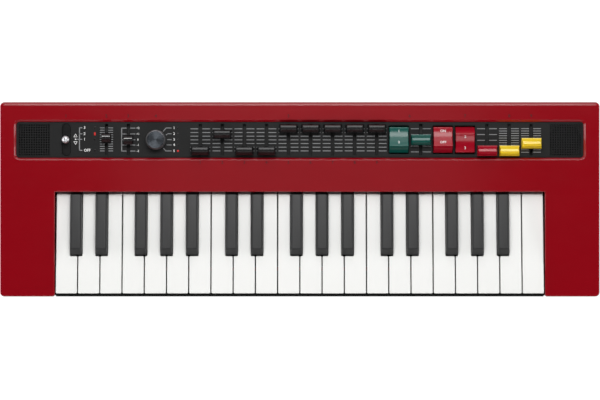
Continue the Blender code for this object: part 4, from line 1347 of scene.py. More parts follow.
@dataclass
class ControlPanel:
    """The recessed black panel with its slots, grilles, scales, print and lights."""

    half: Pair = (253.8, 18.9)
    slot: Pair = (1.3, 14.0)
    rocker_hole: Pair = (8.95, 12.54)
    lever_slot: Pair = (3.85, 14.5)
    knob_hole: float = 3.35
    grille_x: float = 235.0
    grille_count: int = 13
    grille_pitch: float = 2.17
    grille_bore: float = 0.82
    slot_places: tuple[float, ...] = (
        VOLUME_X, OCTAVE_X, *DRAWBAR_PLACES, VIBRATO_DEPTH_X, PERCUSSION_LENGTH_X, DISTORTION_X, REVERB_X,
    )
    lever_rows: tuple[float, ...] = (149.2, 143.8, 139.0, 129.2)
    octave_rows: tuple[float, ...] = (148.9, 143.7, 138.6, 133.9, 128.6)
    knob_rows: tuple[float, ...] = (149.0, 143.9, 138.7, 134.0, 128.7)
    arrows_x: float = -198.4
    lever_lights_x: float = -181.3
    knob_lights_x: float = -107.8
    ear_places: tuple[float, ...] = (77.75, 97.25, 116.75, 136.25, 155.75)
    frame_level: float = -9.5
    frame_half: Pair = (4.3, 16.2)
    cone: tuple[Pair, ...] = (
        (14.2, -9.0), (14.2, -2.2), (13.6, -2.0), (12.6, -2.0), (12.1, -2.6), (11.2, -2.1), (10.4, -2.8), (4.2, -6.6),
        (3.6, -6.0), (2.4, -5.2), (0.8, -4.8),
    )
    ink: float = 0.05

    def plate(self) -> Mesh:
        """The plate's mesh: its edge, holes with their top edges broken, and windows that the grilles fill flush."""
        middle, top, bottom = PANEL_MIDDLE, PANEL_TOP, PANEL_BOTTOM
        edge = [(0.5, top), (0.0, top - 0.3), (0.0, bottom + 0.3), (0.5, bottom)]
        broken = [(inset, top - drop) for inset, drop in fillet(0.22, 2, 0.15)]
        broken += [(0.0, bottom + 0.05), (0.05, bottom)]
        window = [(0.25, top), (0.0, top), (0.0, bottom), (0.25, bottom)]
        holes = [rectangle(*self.slot, 0.5, (x, middle), hole=True, steps=3) for x in self.slot_places]
        holes += [rectangle(*self.rocker_hole, 0.6, (x, middle), hole=True, steps=3) for x in ROCKER_PLACES]
        holes += [
            rectangle(*self.lever_slot, self.lever_slot[0] - 0.01, (LEVER_X, middle), hole=True, steps=8),
            circle(self.knob_hole, 32, (KNOB_X, middle), hole=True),
        ]
        half = self.grille_count * self.grille_pitch / 2
        windows = [rectangle(half, half, 0.0, (x, middle), hole=True) for x in (-self.grille_x, self.grille_x)]
        rims = [Rim(rectangle(*self.half, 6.0, (0.0, middle)), edge)]
        rims += [Rim(hole, broken) for hole in holes] + [Rim(hole, window) for hole in windows]
        return Form().plate(rims).mesh("plate")

    def grille_cell(self) -> Mesh:
        """One cell of the perforated grille: a square with a round hole."""
        half = self.grille_pitch / 2
        square = [(half, -half / 2), (half, half / 2), (half / 2, half), (-half / 2, half), (-half, half / 2),
                  (-half, -half / 2), (-half / 2, -half), (half / 2, -half)]
        corners = [(half, half), (-half, half), (-half, -half), (half, -half)]
        outline: list[Pair] = []
        for i, corner in enumerate(corners):
            outline += [square[2 * i + 1], corner, square[(2 * i + 2) % 8]]
        angles = [math.atan2(y, x) for x, y in outline]
        bore = [(self.grille_bore * math.cos(a), self.grille_bore * math.sin(a)) for a in angles]
        levels = [(outline, -1.0), (outline, 0.0), (bore, 0.0), (bore, -1.0)]
        return Form().loft([[(x, y, z) for x, y in ring] for ring, z in levels], loop=True).mesh("cell")

    def grilles(self, shop: Workshop) -> None:
        """Both grilles, each with a loudspeaker under it."""
        for side, x in (("left", -self.grille_x), ("right", self.grille_x)):
            made = shop.repeated(shop.grid, "Cell", self.grille_cell(), PANEL_BLACK,
                                 {"Count": self.grille_count, "Pitch": self.grille_pitch})
            made.transform(at(x, PANEL_MIDDLE, PANEL_TOP))
            shop.piece(f"{side}_speaker_grille", made, PANEL_BLACK)
            speaker = Form().lathe(self.cone, 48, (x, PANEL_MIDDLE)).moved(at(0.0, 0.0, PANEL_TOP - 1.6))
            shop.piece(f"{side}_loudspeaker", speaker, CONE_PAPER)

    def scales(self, shop: Workshop) -> None:
        """Tick rows beside every slot."""
        # First slot, shift along the slot, slots, rows, row pitch, tick length, and gap from the slot's middle
        banks = (
            (FIRST_DRAWBAR_X, 0.0, 9, 7, 3.25, 6.95, 1.78),
            (VIBRATO_DEPTH_X, -0.4, 1, 5, 5.12, 7.0, 1.78),
            (PERCUSSION_LENGTH_X, -0.4, 1, 5, 5.12, 7.0, 1.78),
            (DISTORTION_X, -0.5, 2, 11, 2.08, 7.0, 1.78),
            (VOLUME_X, 0.4, 1, 11, 2.04, 4.2, 1.6),
        )
        form = Form()
        for x, shift, columns, rows, pitch, length, gap in banks:
            made = shop.scale.run({
                "Columns": columns, "Column Pitch": CONTROL_PITCH, "Rows": rows, "Row Pitch": pitch,
                "Tick Length": length, "Tick Width": 0.60, "Slot Gap": gap, "Thickness": self.ink,
                "Material": PALE_INK.material(),
            })
            form.put(made, at(x, PANEL_MIDDLE + shift, PANEL_TOP))
        shop.piece("slider_scales", form, PALE_INK)

    def _stroke(self, form: Form, points: Sequence[Pair], width: float) -> None:
        """Adds a printed line through points."""
        for (x0, y0), (x1, y1) in zip(points, points[1:]):
            along = Vector((x1 - x0, y1 - y0))
            length, angle = along.length, math.atan2(along.y, along.x)
            bar = Form().box((-width / 2, -width / 2, 0.0), (length + width / 2, width / 2, self.ink)).mesh("bar")
            form.put(bar, at(x0, y0, PANEL_TOP - self.ink / 2) @ Matrix.Rotation(angle, 4, "Z"))

    def _bracket(self, form: Form, inner: float, outer: float, rows: Sequence[float], width: float) -> None:
        """Adds a printed bracket from the first row to the last."""
        self._stroke(form, [(inner, rows[0]), (outer, rows[0]), (outer, rows[-1]), (inner, rows[-1])], width)

    def lines(self) -> Mesh:
        """Brackets by the lever and the octave slider, and the knob's leader lines."""
        form = Form()
        inner, outer, rows = -192.8, -194.9, self.lever_rows
        self._bracket(form, inner, outer, rows, 0.85)
        self._stroke(form, [(outer, rows[1]), (inner, rows[1])], 0.7)
        self._stroke(form, [(self.arrows_x, rows[2]), (inner, rows[2])], 0.6)
        inner, outer, rows = -153.6, -157.6, self.octave_rows
        self._bracket(form, inner, outer, rows, 0.75)
        for y in rows[1:4]:
            self._stroke(form, [(outer, y), (inner, y)], 0.7)
        for y in rows:
            self._stroke(form, [(-149.7, y), (-145.9, y)], 0.7)
        leaders = (
            [(-120.7, 146.2), (-118.2, 149.0), (-113.8, 149.0)], [(-118.1, 142.9), (-116.9, 143.9), (-113.8, 143.9)],
            [(-117.0, 138.7), (-113.8, 138.7)], [(-117.5, 134.0), (-113.8, 134.0)],
            [(-120.5, 130.9), (-118.4, 128.7), (-113.8, 128.7)],
        )
        for points in leaders:
            self._stroke(form, points, 0.65)
        return form.mesh("lines")

    def words(self) -> Mesh:
        """Plain numbers and OFF beside the lever, the octave slider and the knob, and the lever's arrows."""
        form = Form()
        # Texts, their rows, X, height of a digit, and boldness
        columns = (
            (("3", "2", "1", "OFF"), self.lever_rows, -190.4, 2.35, 0.06),
            (("+2", "+1", "0", "-1", "-2"), self.octave_rows, -143.2, 1.75, 0.05),
            (("1", "2", "3", "4", "5"), self.knob_rows, -111.2, 2.1, 0.06),
        )
        for texts, rows, x, height, bold in columns:
            for text, y in zip(texts, rows):
                form.put(lettering(text, height, bold), at(-188.0 if text == "OFF" else x, y, PANEL_TOP))
        for y, way in ((142.4, 1.0), (135.7, -1.0)):
            outer = [(-1.45, -way * 1.3), (1.45, -way * 1.3), (0.0, way * 1.3)]
            self._stroke(form, [(x + self.arrows_x, y + dy) for x, dy in [*outer, outer[0]]], 0.42)
        dot = Form().lathe([(0.62, 0.0), (0.62, self.ink)], 20).mesh("dot")
        form.put(dot, at(self.arrows_x, self.lever_rows[2], PANEL_TOP - 0.02))
        return form.mesh("words")

    def lights(self, shop: Workshop) -> None:
        """Status lights by the lever and the knob, one of each lit."""
        every = [(self.lever_lights_x, y) for y in self.lever_rows] + [(self.knob_lights_x, y) for y in self.knob_rows]
        lit = [(self.lever_lights_x, self.lever_rows[1]), (self.knob_lights_x, self.knob_rows[-1])]
        dark = [place for place in every if place not in lit]
        for name, places, finish in (("lit_lights", lit, LIT_LENS), ("dark_lights", dark, DARK_LENS)):
            form = Form()
            for x, y in places:
                upright = x < KNOB_X
                half = (0.8, 1.45, 0.5) if upright else (0.95, 0.95, 0.94)
                size = 1.0 if finish is LIT_LENS else 0.7
                outline = rectangle(*(part * size for part in half), centre=(x, y), steps=5)
                form.prism(outline, PANEL_TOP - 0.3, PANEL_TOP + 0.42 * size, 0.3 * size)
            shop.piece(name, form, finish)

    def slider_frames(self) -> Mesh:
        """The frames of the sliders under the panel, which close the view down the slots."""
        form = Form()
        middle, low = PANEL_MIDDLE, self.frame_level
        half_x, half_y = self.frame_half
        for x in self.slot_places:
            form.box((x - half_x, middle - half_y, low), (x + half_x, middle + half_y, low + 0.7), 0.15)
            for side in (-1, 1):
                y = middle + side * 15.4
                form.box((x - 4.0, y - 0.7, low + 0.3), (x + 4.0, y + 0.7, PANEL_BOTTOM + 0.3))
        return form.mesh("frames")

    def undersides(self, shop: Workshop) -> None:
        """The lever's boot, the main board and the ears that hold the rockers and the lever."""
        hole = rectangle(1.75, 3.8, 1.6, (LEVER_X, PANEL_MIDDLE), hole=True)
        body = rectangle(3.7, 14.35, 3.6, (LEVER_X, PANEL_MIDDLE), steps=8)
        steps = [(0.3, -3.7), (0.06, -3.8), (0.0, -3.9), (0.0, -4.5)]
        shop.piece("lever_boot", Form().plate([Rim(body, steps), Rim(hole, steps)]), BOOT_RUBBER)
        shop.piece("slider_frames", self.slider_frames(), SLIDER_FRAME)
        board = Form().box((-256.0, 124.0, -17.2), (256.0, 167.0, -15.8), 0.2)
        shop.piece("main_board", board, BOARD)
        ears = Form()
        # X, bore, height of the pin, and half the length of each ear
        pins = [(x, cleared(1.3), ROCKER_PIVOT, 4.0) for x in self.ear_places]
        pins += [(LEVER_X + side * 4.65, cleared(2.7), LEVER_PIVOT, 5.4) for side in (-1, 1)]
        sides = [(0.0, 0.8), (0.0, -0.8)]
        for x, bore, z, reach in pins:
            low, high = z - bore - 1.6, PANEL_BOTTOM + 0.5
            outline = rectangle(reach, (high - low) / 2, 0.4, (0.0, (low + high) / 2 - z))
            ear = Form().plate([Rim(outline, sides), Rim(circle(bore, 24, hole=True), sides)]).mesh("ear")
            turn = Matrix(((0, 0, 1, x), (1, 0, 0, PANEL_MIDDLE), (0, 1, 0, z), (0, 0, 0, 1)))
            ears.put(ear, turn)
        shop.piece("panel_ears", ears, PANEL_BLACK)

    def build(self, shop: Workshop) -> None:
        """Makes the panel and all that is fixed to it."""
        shop.piece("control_plate", self.plate(), PANEL_BLACK, replaces=["control_panel"])
        self.grilles(shop)
        self.scales(shop)
        shop.piece("panel_lines", self.lines(), PALE_INK)
        shop.piece("panel_numbers", self.words(), WHITE_INK)
        self.lights(shop)
        self.undersides(shop)


@dataclass
class Keyboard:
    """The 37 mini keys."""

    count: int = 22
    pitch: float = 19.63
    gap: float = 1.0
    wall: float = 1.5
    edge: float = 0.55
    front_corner: float = 1.0
    notch_corner: float = 0.85
    hollow_rear: float = PIVOT_Y - 10.0
    white_step: float = 90.5
    white_step_drop: float = 3.4
    black_half: float = 5.1
    black_side_gap: float = 0.45
    black_front: float = 36.8
    black_front_gap: float = 1.1
    black_lean: float = 5.6
    black_rise: float = 8.4
    black_step: float = WELL_DEPTH - 2.1
    black_profile: tuple[tuple[float, float, float], ...] = (
        (0.0, 0.0, 0.0), (0.04, 0.01, 0.0), (0.5, 0.06, 0.0), (0.875, 0.11, 0.0), (0.893, 0.15, 0.0),
        (0.910, 0.34, 0.02), (0.985, 1.25, 0.10), (0.997, 1.52, 0.25), (1.0, 1.85, 0.60),
    )
    groove: float = cleared(1.8)
    offsets: dict[str, float] = field(default_factory=lambda: {"c": -1.45, "d": 1.45, "f": -3.0, "g": 0.0, "a": 3.0})
    letters: str = "cdefgab"

    def _offset(self, index: int) -> float | None:
        """How far the black key after a white one sits from the line between the two whites, or None."""
        if not 0 <= index < self.count - 1:
            return None
        return self.offsets.get(self.letters[index % 7])

    def _white_corners(self, index: int, inset: float, rear: float, rounds: bool) -> list[Corner]:
        """Plan corners of a white key, from the line on its left."""
        left, right = self.gap / 2 + inset, self.pitch - self.gap / 2 - inset
        clear = self.black_half + self.black_side_gap + inset
        before, after = self._offset(index - 1), self._offset(index)
        notch = self.black_front - self.black_front_gap - inset
        front = KEY_FRONT + inset
        big, small = (self.front_corner, self.notch_corner) if rounds else (0.0, 0.0)
        corners: list[Corner] = [(left, front, big), (right, front, big)]
        rear_right = right
        if after is not None:
            rear_right = self.pitch + after - clear
            corners += [(right, notch, small), (rear_right, notch, small)]
        rear_left = left if before is None else before + clear
        corners += [(rear_right, rear, small), (rear_left, rear, small)]
        if before is not None:
            corners += [(rear_left, notch, small), (left, notch, small)]
        return corners

    def _groove(self) -> Mesh:
        """Cutter for the groove that a key turns on, open downwards."""
        angles = [math.pi * i / 8 for i in range(9)]
        outline = [(self.groove * math.cos(a), self.groove * math.sin(a)) for a in angles]
        outline += [(-self.groove, -6.0), (self.groove, -6.0)]
        rings = [[(x, PIVOT_Y + y, PIVOT_Z + z) for y, z in outline] for x in (-CUTTER_REACH, CUTTER_REACH)]
        return Form().loft(rings).mesh("groove")

    def white(self, index: int) -> Mesh:
        """A white key's mesh, from the line on its left."""
        points = rounded_path(self._white_corners(index, 0.0, KEY_REAR, True), 4)

        def steps(point: PathPoint) -> list[Pair]:
            """Rings of the key's side: a rounded top edge, then the wall."""
            rings = []
            for inset, drop in fillet(self.edge, 4, 0.25):
                rings.append((inset, key_top(point.moved(inset)[1]) - drop))
            base = key_bottom(point.y)
            return [*rings, (0.0, base + 0.2), (0.15, base)]

        body = Form().plate([Rim(points, steps)]).mesh("white_key", SHARP_SHELL)
        inner = self._white_corners(index, self.wall, self.white_step - self.wall, False)
        lower = [(x, y, key_bottom(y) - 4.0) for x, y, _ in inner]
        upper = [(x, y, key_top(y) - self.wall) for x, y, _ in inner]
        hollow = Form().loft([lower, upper]).mesh("hollow")
        return carved(body, [hollow, self._groove(), self._tail_cut()], SHARP_SHELL)

    def _tail_cut(self) -> Mesh:
        """Cutter that lowers a white key's tail behind its visible part."""
        sides = [(self.white_step, 6.0), (KEY_REAR + 2.0, 6.0), (KEY_REAR + 2.0, 0.0), (self.white_step, 0.0)]
        rings = [
            [(x, y, key_top(y) - self.white_step_drop * (lift < 1) + lift) for y, lift in sides]
            for x in (-CUTTER_REACH, CUTTER_REACH)
        ]
        return Form().loft(rings).mesh("tail_cut")

    def _black_ring(self, half: float, front: float, rear: float, level: Callable[[float], float],
                    corner: float) -> Ring:
        """One ring of a black key's body."""
        path = rectangle(half, (rear - front) / 2, corner, (0.0, (rear + front) / 2), steps=4)
        return [(point.x, point.y, level(point.y)) for point in path]

    def black(self) -> Mesh:
        """The black keys' mesh, about its own middle."""
        rise = self.black_rise
        rings: list[Ring] = [
            self._black_ring(self.black_half - 0.15, self.black_front + 0.15, KEY_REAR, key_bottom, 0.3),
            self._black_ring(self.black_half, self.black_front, KEY_REAR, lambda y: key_bottom(y) + 0.15, 0.45),
            self._black_ring(self.black_half, self.black_front, KEY_REAR, key_top, 0.45),
            self._black_ring(self.black_half, self.black_front, self.black_step, key_top, 0.45),
        ]
        for level, side, end in self.black_profile:
            rings.append(self._tapered_ring(level * rise, side, end, 0.5 + 0.6 * level))
        body = Form().loft(rings).mesh("black_key", SHARP_SHELL)
        half = self.black_half - self.wall
        floor = [self._black_ring(half, self.black_front + self.wall, self.hollow_rear, level, 0.0)
                 for level in (lambda y: key_bottom(y) - 4.0, lambda y: key_top(y) - self.wall)]
        return carved(body, [Form().loft(floor).mesh("hollow"), self._groove()], SHARP_SHELL)

    def _tapered_ring(self, rise: float, side: float, end: float, corner: float) -> Ring:
        """A ring of the part of a black key that stands over the white keys.

        Args:
            rise: Its height over the white keys.
            side: How far its sides are drawn in.
            end: How far its ends are drawn in, past the lean of the front.
            corner: Radius of its corners.

        Returns:
            The ring.
        """
        front = self.black_front + self.black_lean * rise / self.black_rise + end
        rear = self.black_step - end - 0.1
        return self._black_ring(self.black_half - side, front, rear, lambda y: key_top(y) + rise, corner)

    def build(self, shop: Workshop) -> None:
        """Makes every key, each on its own body."""
        kinds: dict[tuple[str, bool, bool], Mesh] = {}
        black = self.black()
        number = 0
        for index in range(self.count):
            letter = self.letters[index % 7]
            kind = (letter, index == 0, index == self.count - 1)
            if kind not in kinds:
                kinds[kind] = self.white(index)
            number += 1
            line = (index - self.count / 2) * self.pitch
            node = f"key_{number:02d}_{letter}"
            mesh = kinds[kind].copy()
            mesh.transform(at(line, 0.0, 0.0))
            shop.mover(node, "white", mesh, WHITE_KEY)
            offset = self._offset(index)
            if offset is None:
                continue
            number += 1
            node = f"key_{number:02d}_{letter}_sharp"
            mesh = black.copy()
            mesh.transform(at(line + self.pitch + offset, 0.0, 0.0))
            shop.mover(node, "black", mesh, BLACK_KEY)


@dataclass(frozen=True)
class CapSize:
    """A slider cap: its base, and where its crest and finger groove are, from its middle to the rear."""

    width: float
    length: float
    height: float
    shoulder: float
    crest: Pair
    rear_wall: Pair
    front_slope: Pair
    end_slope: float = 1.0
    dip: float = 0.7


class CapStyle(Enum):
    """The three kinds of slider cap."""

    DRAWBAR = CapSize(16.4, 7.8, 10.6, 6.9, (-0.75, 1.2), (2.6, 10.24), (-3.2, 7.3), 1.5)
    EFFECT = CapSize(17.6, 9.4, 11.2, 7.3, (-2.5, -0.6), (1.5, 10.72), (-4.3, 7.8))
    SMALL = CapSize(8.6, 8.6, 9.5, 5.9, (-0.9, 1.9), (2.6, 8.9), (-3.5, 6.2), 0.6, 0.45)


@dataclass(frozen=True)
class Slider:
    """One slider: cap, stem and carrier."""

    node: str
    x: float
    rest: float
    style: CapStyle
    finish: Finish
    hover: float = 0.6
    stem: Point = (0.8, 2.5, -5.0)
    carrier: Point = (4.0, -5.4, -2.45)

    def _ring(self, half: float, tip: float, front: Pair, rear: Pair) -> Ring:
        """A six-sided ring of the cap, with a tip at each end.

        Args:
            half: Half its width at the front and rear.
            tip: Half its width at the tips.
            front: Y and Z of its front edge.
            rear: Y and Z of its rear edge.

        Returns:
            The ring.
        """
        (y0, z0), (y1, z1) = front, rear
        middle = ((y0 + y1) / 2, (z0 + z1) / 2)
        return [(-half, y0, z0), (half, y0, z0), (tip, *middle), (half, y1, z1), (-half, y1, z1), (-tip, *middle)]

    def cap(self) -> Form:
        """The cap about its slot, over the panel's top."""
        size = self.style.value
        half, long = size.width / 2, size.length / 2
        top, shoulder, foot = size.height, size.shoulder, self.hover
        front, rear = size.crest
        wall, slope = size.rear_wall, size.front_slope
        ridge = half - size.end_slope
        floor = top - size.dip
        rings = [
            self._ring(half - 0.25, half - 0.25, (-long + 0.25, foot), (long - 0.25, foot)),
            self._ring(half, half, (-long, foot + 0.4), (long, foot + 0.4)),
            self._ring(half - 0.1, half - 0.1, (-long + 0.12, shoulder - 0.5), (long - 0.12, shoulder - 0.5)),
            self._ring(ridge + 0.15, half - 0.2, slope, (wall[0] + 0.45, wall[1] - 1.2)),
            self._ring(ridge + 0.05, half - 0.35, (slope[0] + 0.35, slope[1] + 0.6), wall),
            self._ring(ridge - 0.15, half - 0.6, (front, top - 0.12), (rear, top)),
            self._ring(ridge - 0.45, half - 1.0, (front + 0.28, top - 0.14), (rear - 0.12, top - 0.06)),
            self._ring(ridge - 0.75, half - 1.35, (front + 0.5, floor), (rear - 0.3, floor + 0.05)),
        ]
        return Form().loft(rings).soften(0.12, 2, 15.0)

    def build(self, shop: Workshop) -> None:
        """Makes the slider on its own body."""
        form = self.cap()
        half_x, half_y, foot = self.stem
        form.box((-half_x, -half_y, foot), (half_x, half_y, self.hover + 1.0), 0.15)
        half, low, high = self.carrier
        form.box((-half, -half, low), (half, half, high), 0.3)
        place = at(self.x, PANEL_MIDDLE + self.rest * SLIDE_HALF, PANEL_TOP)
        shop.mover(self.node, "cap", form.moved(place), self.finish)
        if self.style is CapStyle.SMALL:
            size = self.style.value
            half, line = size.width / 2 - 0.75, size.crest[1] - 0.75
            mark = Form().box((-half, line - 0.28, size.height - 0.2), (half, line + 0.12, size.height + 0.02), 0.04)
            shop.piece(f"{self.node}_line", mark.moved(place), WHITE_INK, self.node)


@dataclass(frozen=True)
class Rocker:
    """One rocker: a dished finger face with sloping ends, leaning on the end that is down."""

    node: str
    x: float
    down: int
    finish: Finish
    marks: tuple[str, str]
    mark_rows: Pair = (5.3, -4.9)
    half_width: float = 8.45
    face: float = 8.5
    length: float = 12.1
    rise: float = 11.4
    chin: float = 1.0
    dish: float = 1.3
    keel: Pair = (6.0, -6.0)
    throw: float = math.radians(14.0)
    pivot: float = ROCKER_PIVOT

    def face_height(self, y: float) -> float:
        """Height of the finger face over the pins."""
        return self.rise - self.dish * (1 - (y / self.face) ** 2)

    def _outline(self) -> list[PathPoint]:
        """Side outline about the pins, in Y and Z."""
        corners: list[Corner] = [
            (-self.length, self.chin, 0.8), (-self.keel[0], self.keel[1], 1.0), (self.keel[0], self.keel[1], 1.0),
            (self.length, self.chin, 0.8), (self.face, self.rise, 0.7),
        ]
        inner = [self.face * (1 - 2 * i / 14) for i in range(1, 14)]
        corners += [(y, self.face_height(y), 0.0) for y in inner]
        corners.append((-self.face, self.rise, 0.7))
        return rounded_path(corners, 4)

    def body(self) -> Form:
        """The rocker about its pins."""
        outline = self._outline()
        rounds = fillet(0.5, 3, 0.25)
        rings = []
        for side in (-1, 1):
            pairs = rounds if side < 0 else list(reversed(rounds))
            for inset, drop in pairs:
                x = side * (self.half_width - drop)
                rings.append([(x, *point.moved(inset)) for point in outline])
        form = Form().loft(rings)
        pins = Form().lathe([(1.0, -self.half_width - 1.1), (1.0, self.half_width + 1.1)], 16)
        return form.put(pins.moved(ALONG_X).mesh("pins"))

    def _marks(self) -> Form:
        """The print on the face, bent to its dish."""
        form = Form()
        for text, y in zip(self.marks, self.mark_rows):
            form.put(lettering(text, 2.2, 0.05), at(0.0, y, 0.0))
        for vert in form.bm.verts:
            vert.co.z += self.face_height(vert.co.y) + 0.005
        return form

    def build(self, shop: Workshop) -> None:
        """Makes the rocker on its own body."""
        place = at(self.x, PANEL_MIDDLE, self.pivot) @ Matrix.Rotation(-self.down * self.throw, 4, "X")
        shop.mover(self.node, "body", self.body().moved(place), self.finish)
        shop.piece(f"{self.node}_marks", self._marks().moved(place), WHITE_INK, self.node)


@dataclass
class WaveKnob:
    """The turned knob with its spun face."""

    base: float = 8.8
    top: float = 7.75
    height: float = 11.0
    groove_pitch: float = 0.55
    groove_depth: float = 0.045
    groove_reach: Pair = (7.3, 0.3)
    groove_floor: float = 10.6

    def build(self, shop: Workshop) -> None:
        """Makes the knob on its own body."""
        body = [
            (6.0, -7.4), (6.0, -2.4), (3.0, -2.4), (3.0, 0.6), (8.3, 0.6), (self.base, 1.1), (self.base - 0.02, 1.6),
            (8.72, 9.0), (8.6, 9.5), (8.2, 10.05), (7.2, 10.3),
        ]
        rim, (outermost, innermost) = self.top - 0.3, self.groove_reach
        face = [(rim, 10.2), (rim, 10.5)]
        for i in range(int((outermost - innermost) * 4 / self.groove_pitch) + 1):
            radius = outermost - i * self.groove_pitch / 4
            face.append((radius, self.groove_floor + self.groove_depth * math.cos(i * math.pi / 2)))
        ring = [
            (rim, 10.1), (self.top + 0.38, 10.1), (self.top + 0.38, 10.45), (self.top + 0.1, self.height - 0.15),
            (self.top - 0.18, self.height - 0.12), (rim, self.height - 0.3),
        ]
        meshes = [
            Form().lathe(profile, 96, loop=profile is ring).moved(at(KNOB_X, PANEL_MIDDLE, PANEL_TOP))
            .mesh("knob", SHARP_KNOB) for profile in (body, face, ring)
        ]
        shop.mover("wave_knob", "body", meshes[0], KNOB_GREY)
        shop.piece("wave_knob_face", meshes[1], SPUN, "wave_knob")
        shop.piece("wave_knob_ring", meshes[2], STEEL, "wave_knob")


@dataclass
class RotaryLever:
    """The plated ball lever in its slot."""

    pivot: float = LEVER_PIVOT
    ball: float = 3.4
    ball_rise: float = 14.4
    neck: float = 1.3
    hub: float = 2.4
    hub_half: float = 5.4

    def build(self, shop: Workshop) -> None:
        """Makes the lever on its own body."""
        start = math.asin(self.neck / self.ball)
        joint = self.ball_rise - self.ball * math.cos(start)
        profile = [(self.neck, 0.0), (self.neck, joint - 0.25), (self.neck + 0.12, joint - 0.05)]
        for step in range(1, 20):
            angle = start + (math.pi - start) * step / 20
            profile.append((self.ball * math.sin(angle), self.ball_rise - self.ball * math.cos(angle)))
        profile.append((0.12, self.ball_rise + self.ball))
        form = Form().lathe(profile, 40)
        hub = Form().lathe([(self.hub - 0.2, -self.hub_half), (self.hub, -self.hub_half + 0.2),
                            (self.hub, self.hub_half - 0.2), (self.hub - 0.2, self.hub_half)], 28)
        form.put(hub.moved(ALONG_X).mesh("hub"))
        place = at(LEVER_X, PANEL_MIDDLE, self.pivot)
        shop.mover("rotary_lever", "ball", form.moved(place), PLATED)


# The studio


@dataclass(frozen=True)
class SoftBox:
    """A soft lamp aimed at the middle of the object."""

    name: str
    place: Point
    size: Pair
    power: float
    aim: Point = (0.0, 0.0, 0.04)

    def build(self) -> None:
        """Makes the lamp."""
        lamp = bpy.data.lights.new(self.name, "AREA")
        lamp.shape = "RECTANGLE"
        lamp.size, lamp.size_y = self.size
        lamp.energy = self.power
        obj = bpy.data.objects.new(self.name, lamp)
        bpy.context.scene.collection.objects.link(obj)
        obj.location = self.place
        obj.rotation_euler = (Vector(self.aim) - Vector(self.place)).to_track_quat("-Z", "Y").to_euler()
        obj.visible_camera = False


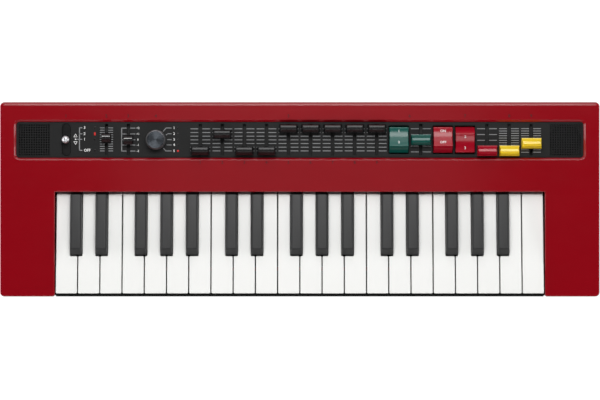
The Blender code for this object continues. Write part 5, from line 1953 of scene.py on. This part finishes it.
@dataclass
class Studio:
    """Floor, lamps, world and camera."""

    distance: float = 2800.0
    aim: Pair = (0.15, 85.3)
    lens: float = 190.15
    sensor: float = 36.0
    clip: Pair = (0.05, 50.0)
    world_level: float = 0.03
    floor_half: float = 6.0
    floor_shade: float = 0.20
    floor_lift: float = 0.93
    boxes: tuple[SoftBox, ...] = (
        SoftBox("overhead_box", (0.0, 0.335, 1.20), (0.80, 0.36), 6.7),
        SoftBox("rear_box", (0.0, 0.735, 1.05), (0.85, 0.42), 2.5),
        SoftBox("rear_slope_box", (0.0, 1.06, 0.715), (1.0, 0.44), 2.6),
        SoftBox("rear_low_box", (0.0, 1.60, 0.24), (2.8, 0.50), 9.0),
        SoftBox("camera_glow", (0.0, -0.08, 1.35), (0.46, 0.40), 0.15),
        SoftBox("front_box", (0.0, -0.95, 0.95), (1.9, 0.45), 8.4),
        SoftBox("left_box", (-1.15, 0.05, 0.25), (1.2, 0.5), 7.0),
        SoftBox("right_box", (1.15, 0.05, 0.25), (1.2, 0.5), 7.0),
    )

    def _floor_material(self) -> bpy.types.Material:
        """White floor that the camera and reflections see as white, and that keeps the object's shadow."""
        made = bpy.data.materials.new("studio_floor")
        made.use_nodes = True
        tree = ShaderTree(made.node_tree)
        made.node_tree.nodes.remove(made.node_tree.nodes["Principled BSDF"])
        rays = tree.node("ShaderNodeLightPath")
        seen = tree.math("MAXIMUM", tree.take(rays, "Is Camera Ray"), tree.take(rays, "Is Glossy Ray"))
        seen = tree.math("MAXIMUM", seen, tree.take(rays, "Is Transmission Ray"))
        shade = (self.floor_shade, self.floor_shade, self.floor_shade, 1.0)
        matte = tree.take(tree.node("ShaderNodeBsdfDiffuse", None, {"Color": shade}))
        glow = {"Color": WHITE, "Strength": self.floor_lift}
        lift = tree.take(tree.node("ShaderNodeEmission", None, glow))
        both = tree.take(tree.node("ShaderNodeAddShader", None, {0: matte, 1: lift}))
        mixed = tree.take(tree.node("ShaderNodeMixShader", None, {0: seen, 1: matte, 2: both}))
        tree.feed(made.node_tree.nodes["Material Output"], "Surface", mixed)
        return made

    def _floor(self) -> None:
        """Makes the floor."""
        half = self.floor_half
        mesh = bpy.data.meshes.new("floor")
        mesh.from_pydata([(-half, -half, 0), (half, -half, 0), (half, half, 0), (-half, half, 0)], [], [(0, 1, 2, 3)])
        mesh.materials.append(self._floor_material())
        loose(mesh, "floor")

    def _world(self) -> None:
        """Makes the world: a dim studio that the camera sees as white."""
        world = bpy.data.worlds.new("studio")
        bpy.context.scene.world = world
        world.use_nodes = True
        tree = ShaderTree(world.node_tree)
        back = world.node_tree.nodes["Background"]
        rays = tree.node("ShaderNodeLightPath")
        seen = tree.math("MAXIMUM", tree.take(rays, "Is Camera Ray"), tree.take(rays, "Is Transmission Ray"))
        tree.feed(back, "Color", WHITE)
        tree.feed(back, "Strength", self.world_level + seen * (1.0 - self.world_level))

    def _camera(self, axes: Axes) -> None:
        """Makes the camera, square to the deck."""
        data = bpy.data.cameras.new("camera")
        data.lens, data.sensor_width = self.lens, self.sensor
        data.clip_start, data.clip_end = self.clip
        obj = bpy.data.objects.new("camera", data)
        bpy.context.scene.collection.objects.link(obj)
        obj.location = axes.deck @ Vector((*self.aim, self.distance))
        obj.rotation_euler = (axes.lean, 0.0, 0.0)
        bpy.context.scene.camera = obj

    def build(self, axes: Axes) -> None:
        """Makes the studio."""
        self._camera(axes)
        self._floor()
        self._world()
        for box in self.boxes:
            box.build()
        bpy.context.scene.view_settings.view_transform = "Standard"


def sliders() -> list[Slider]:
    """Every slider of the panel, with its place at rest from -1, the front end, to 1, the rear end."""
    made = [
        Slider("volume_slider", VOLUME_X, 0.2, CapStyle.SMALL, BLACK_CAP),
        Slider("octave_slider", OCTAVE_X, 0.0, CapStyle.SMALL, BLACK_CAP),
    ]
    rests = (-1.0, 0.5, -1.0, -1.0, 1.0, 1.0, 1.0, 1.0, 1.0)
    for number, (x, rest) in enumerate(zip(DRAWBAR_PLACES, rests), 1):
        made.append(Slider(f"drawbar_{number}", x, rest, CapStyle.DRAWBAR, BLACK_CAP))
    made += [
        Slider("vibrato_depth_slider", VIBRATO_DEPTH_X, 0.0, CapStyle.EFFECT, TEAL_CAP),
        Slider("percussion_length_slider", PERCUSSION_LENGTH_X, -1.0, CapStyle.EFFECT, RED_CAP),
        Slider("distortion_slider", DISTORTION_X, -1.0, CapStyle.EFFECT, YELLOW_CAP),
        Slider("reverb_slider", REVERB_X, -0.32, CapStyle.EFFECT, YELLOW_CAP),
    ]
    return made


def rockers() -> list[Rocker]:
    """The three rockers."""
    return [
        Rocker("vibrato_chorus_rocker", ROCKER_PLACES[0], 1, TEAL_CAP, ("1", "2")),
        Rocker("percussion_rocker", ROCKER_PLACES[1], 1, RED_CAP, ("ON", "OFF")),
        Rocker("percussion_type_rocker", ROCKER_PLACES[2], -1, RED_CAP, ("2", "3")),
    ]


def main() -> None:
    """Builds the studio and every sub-assembly in order."""
    logging.basicConfig(level=logging.INFO, format="%(name)s: %(message)s")
    axes = Axes(frame["joints"])
    Studio().build(axes)
    shop = Workshop(axes)
    parts = [UpperCase(), LowerCase(), RearSockets(), ControlPanel(), Keyboard(), *sliders(), *rockers(), WaveKnob(),
             RotaryLever()]
    for part in parts:
        part.build(shop)


if __name__ == "__main__":
    main()
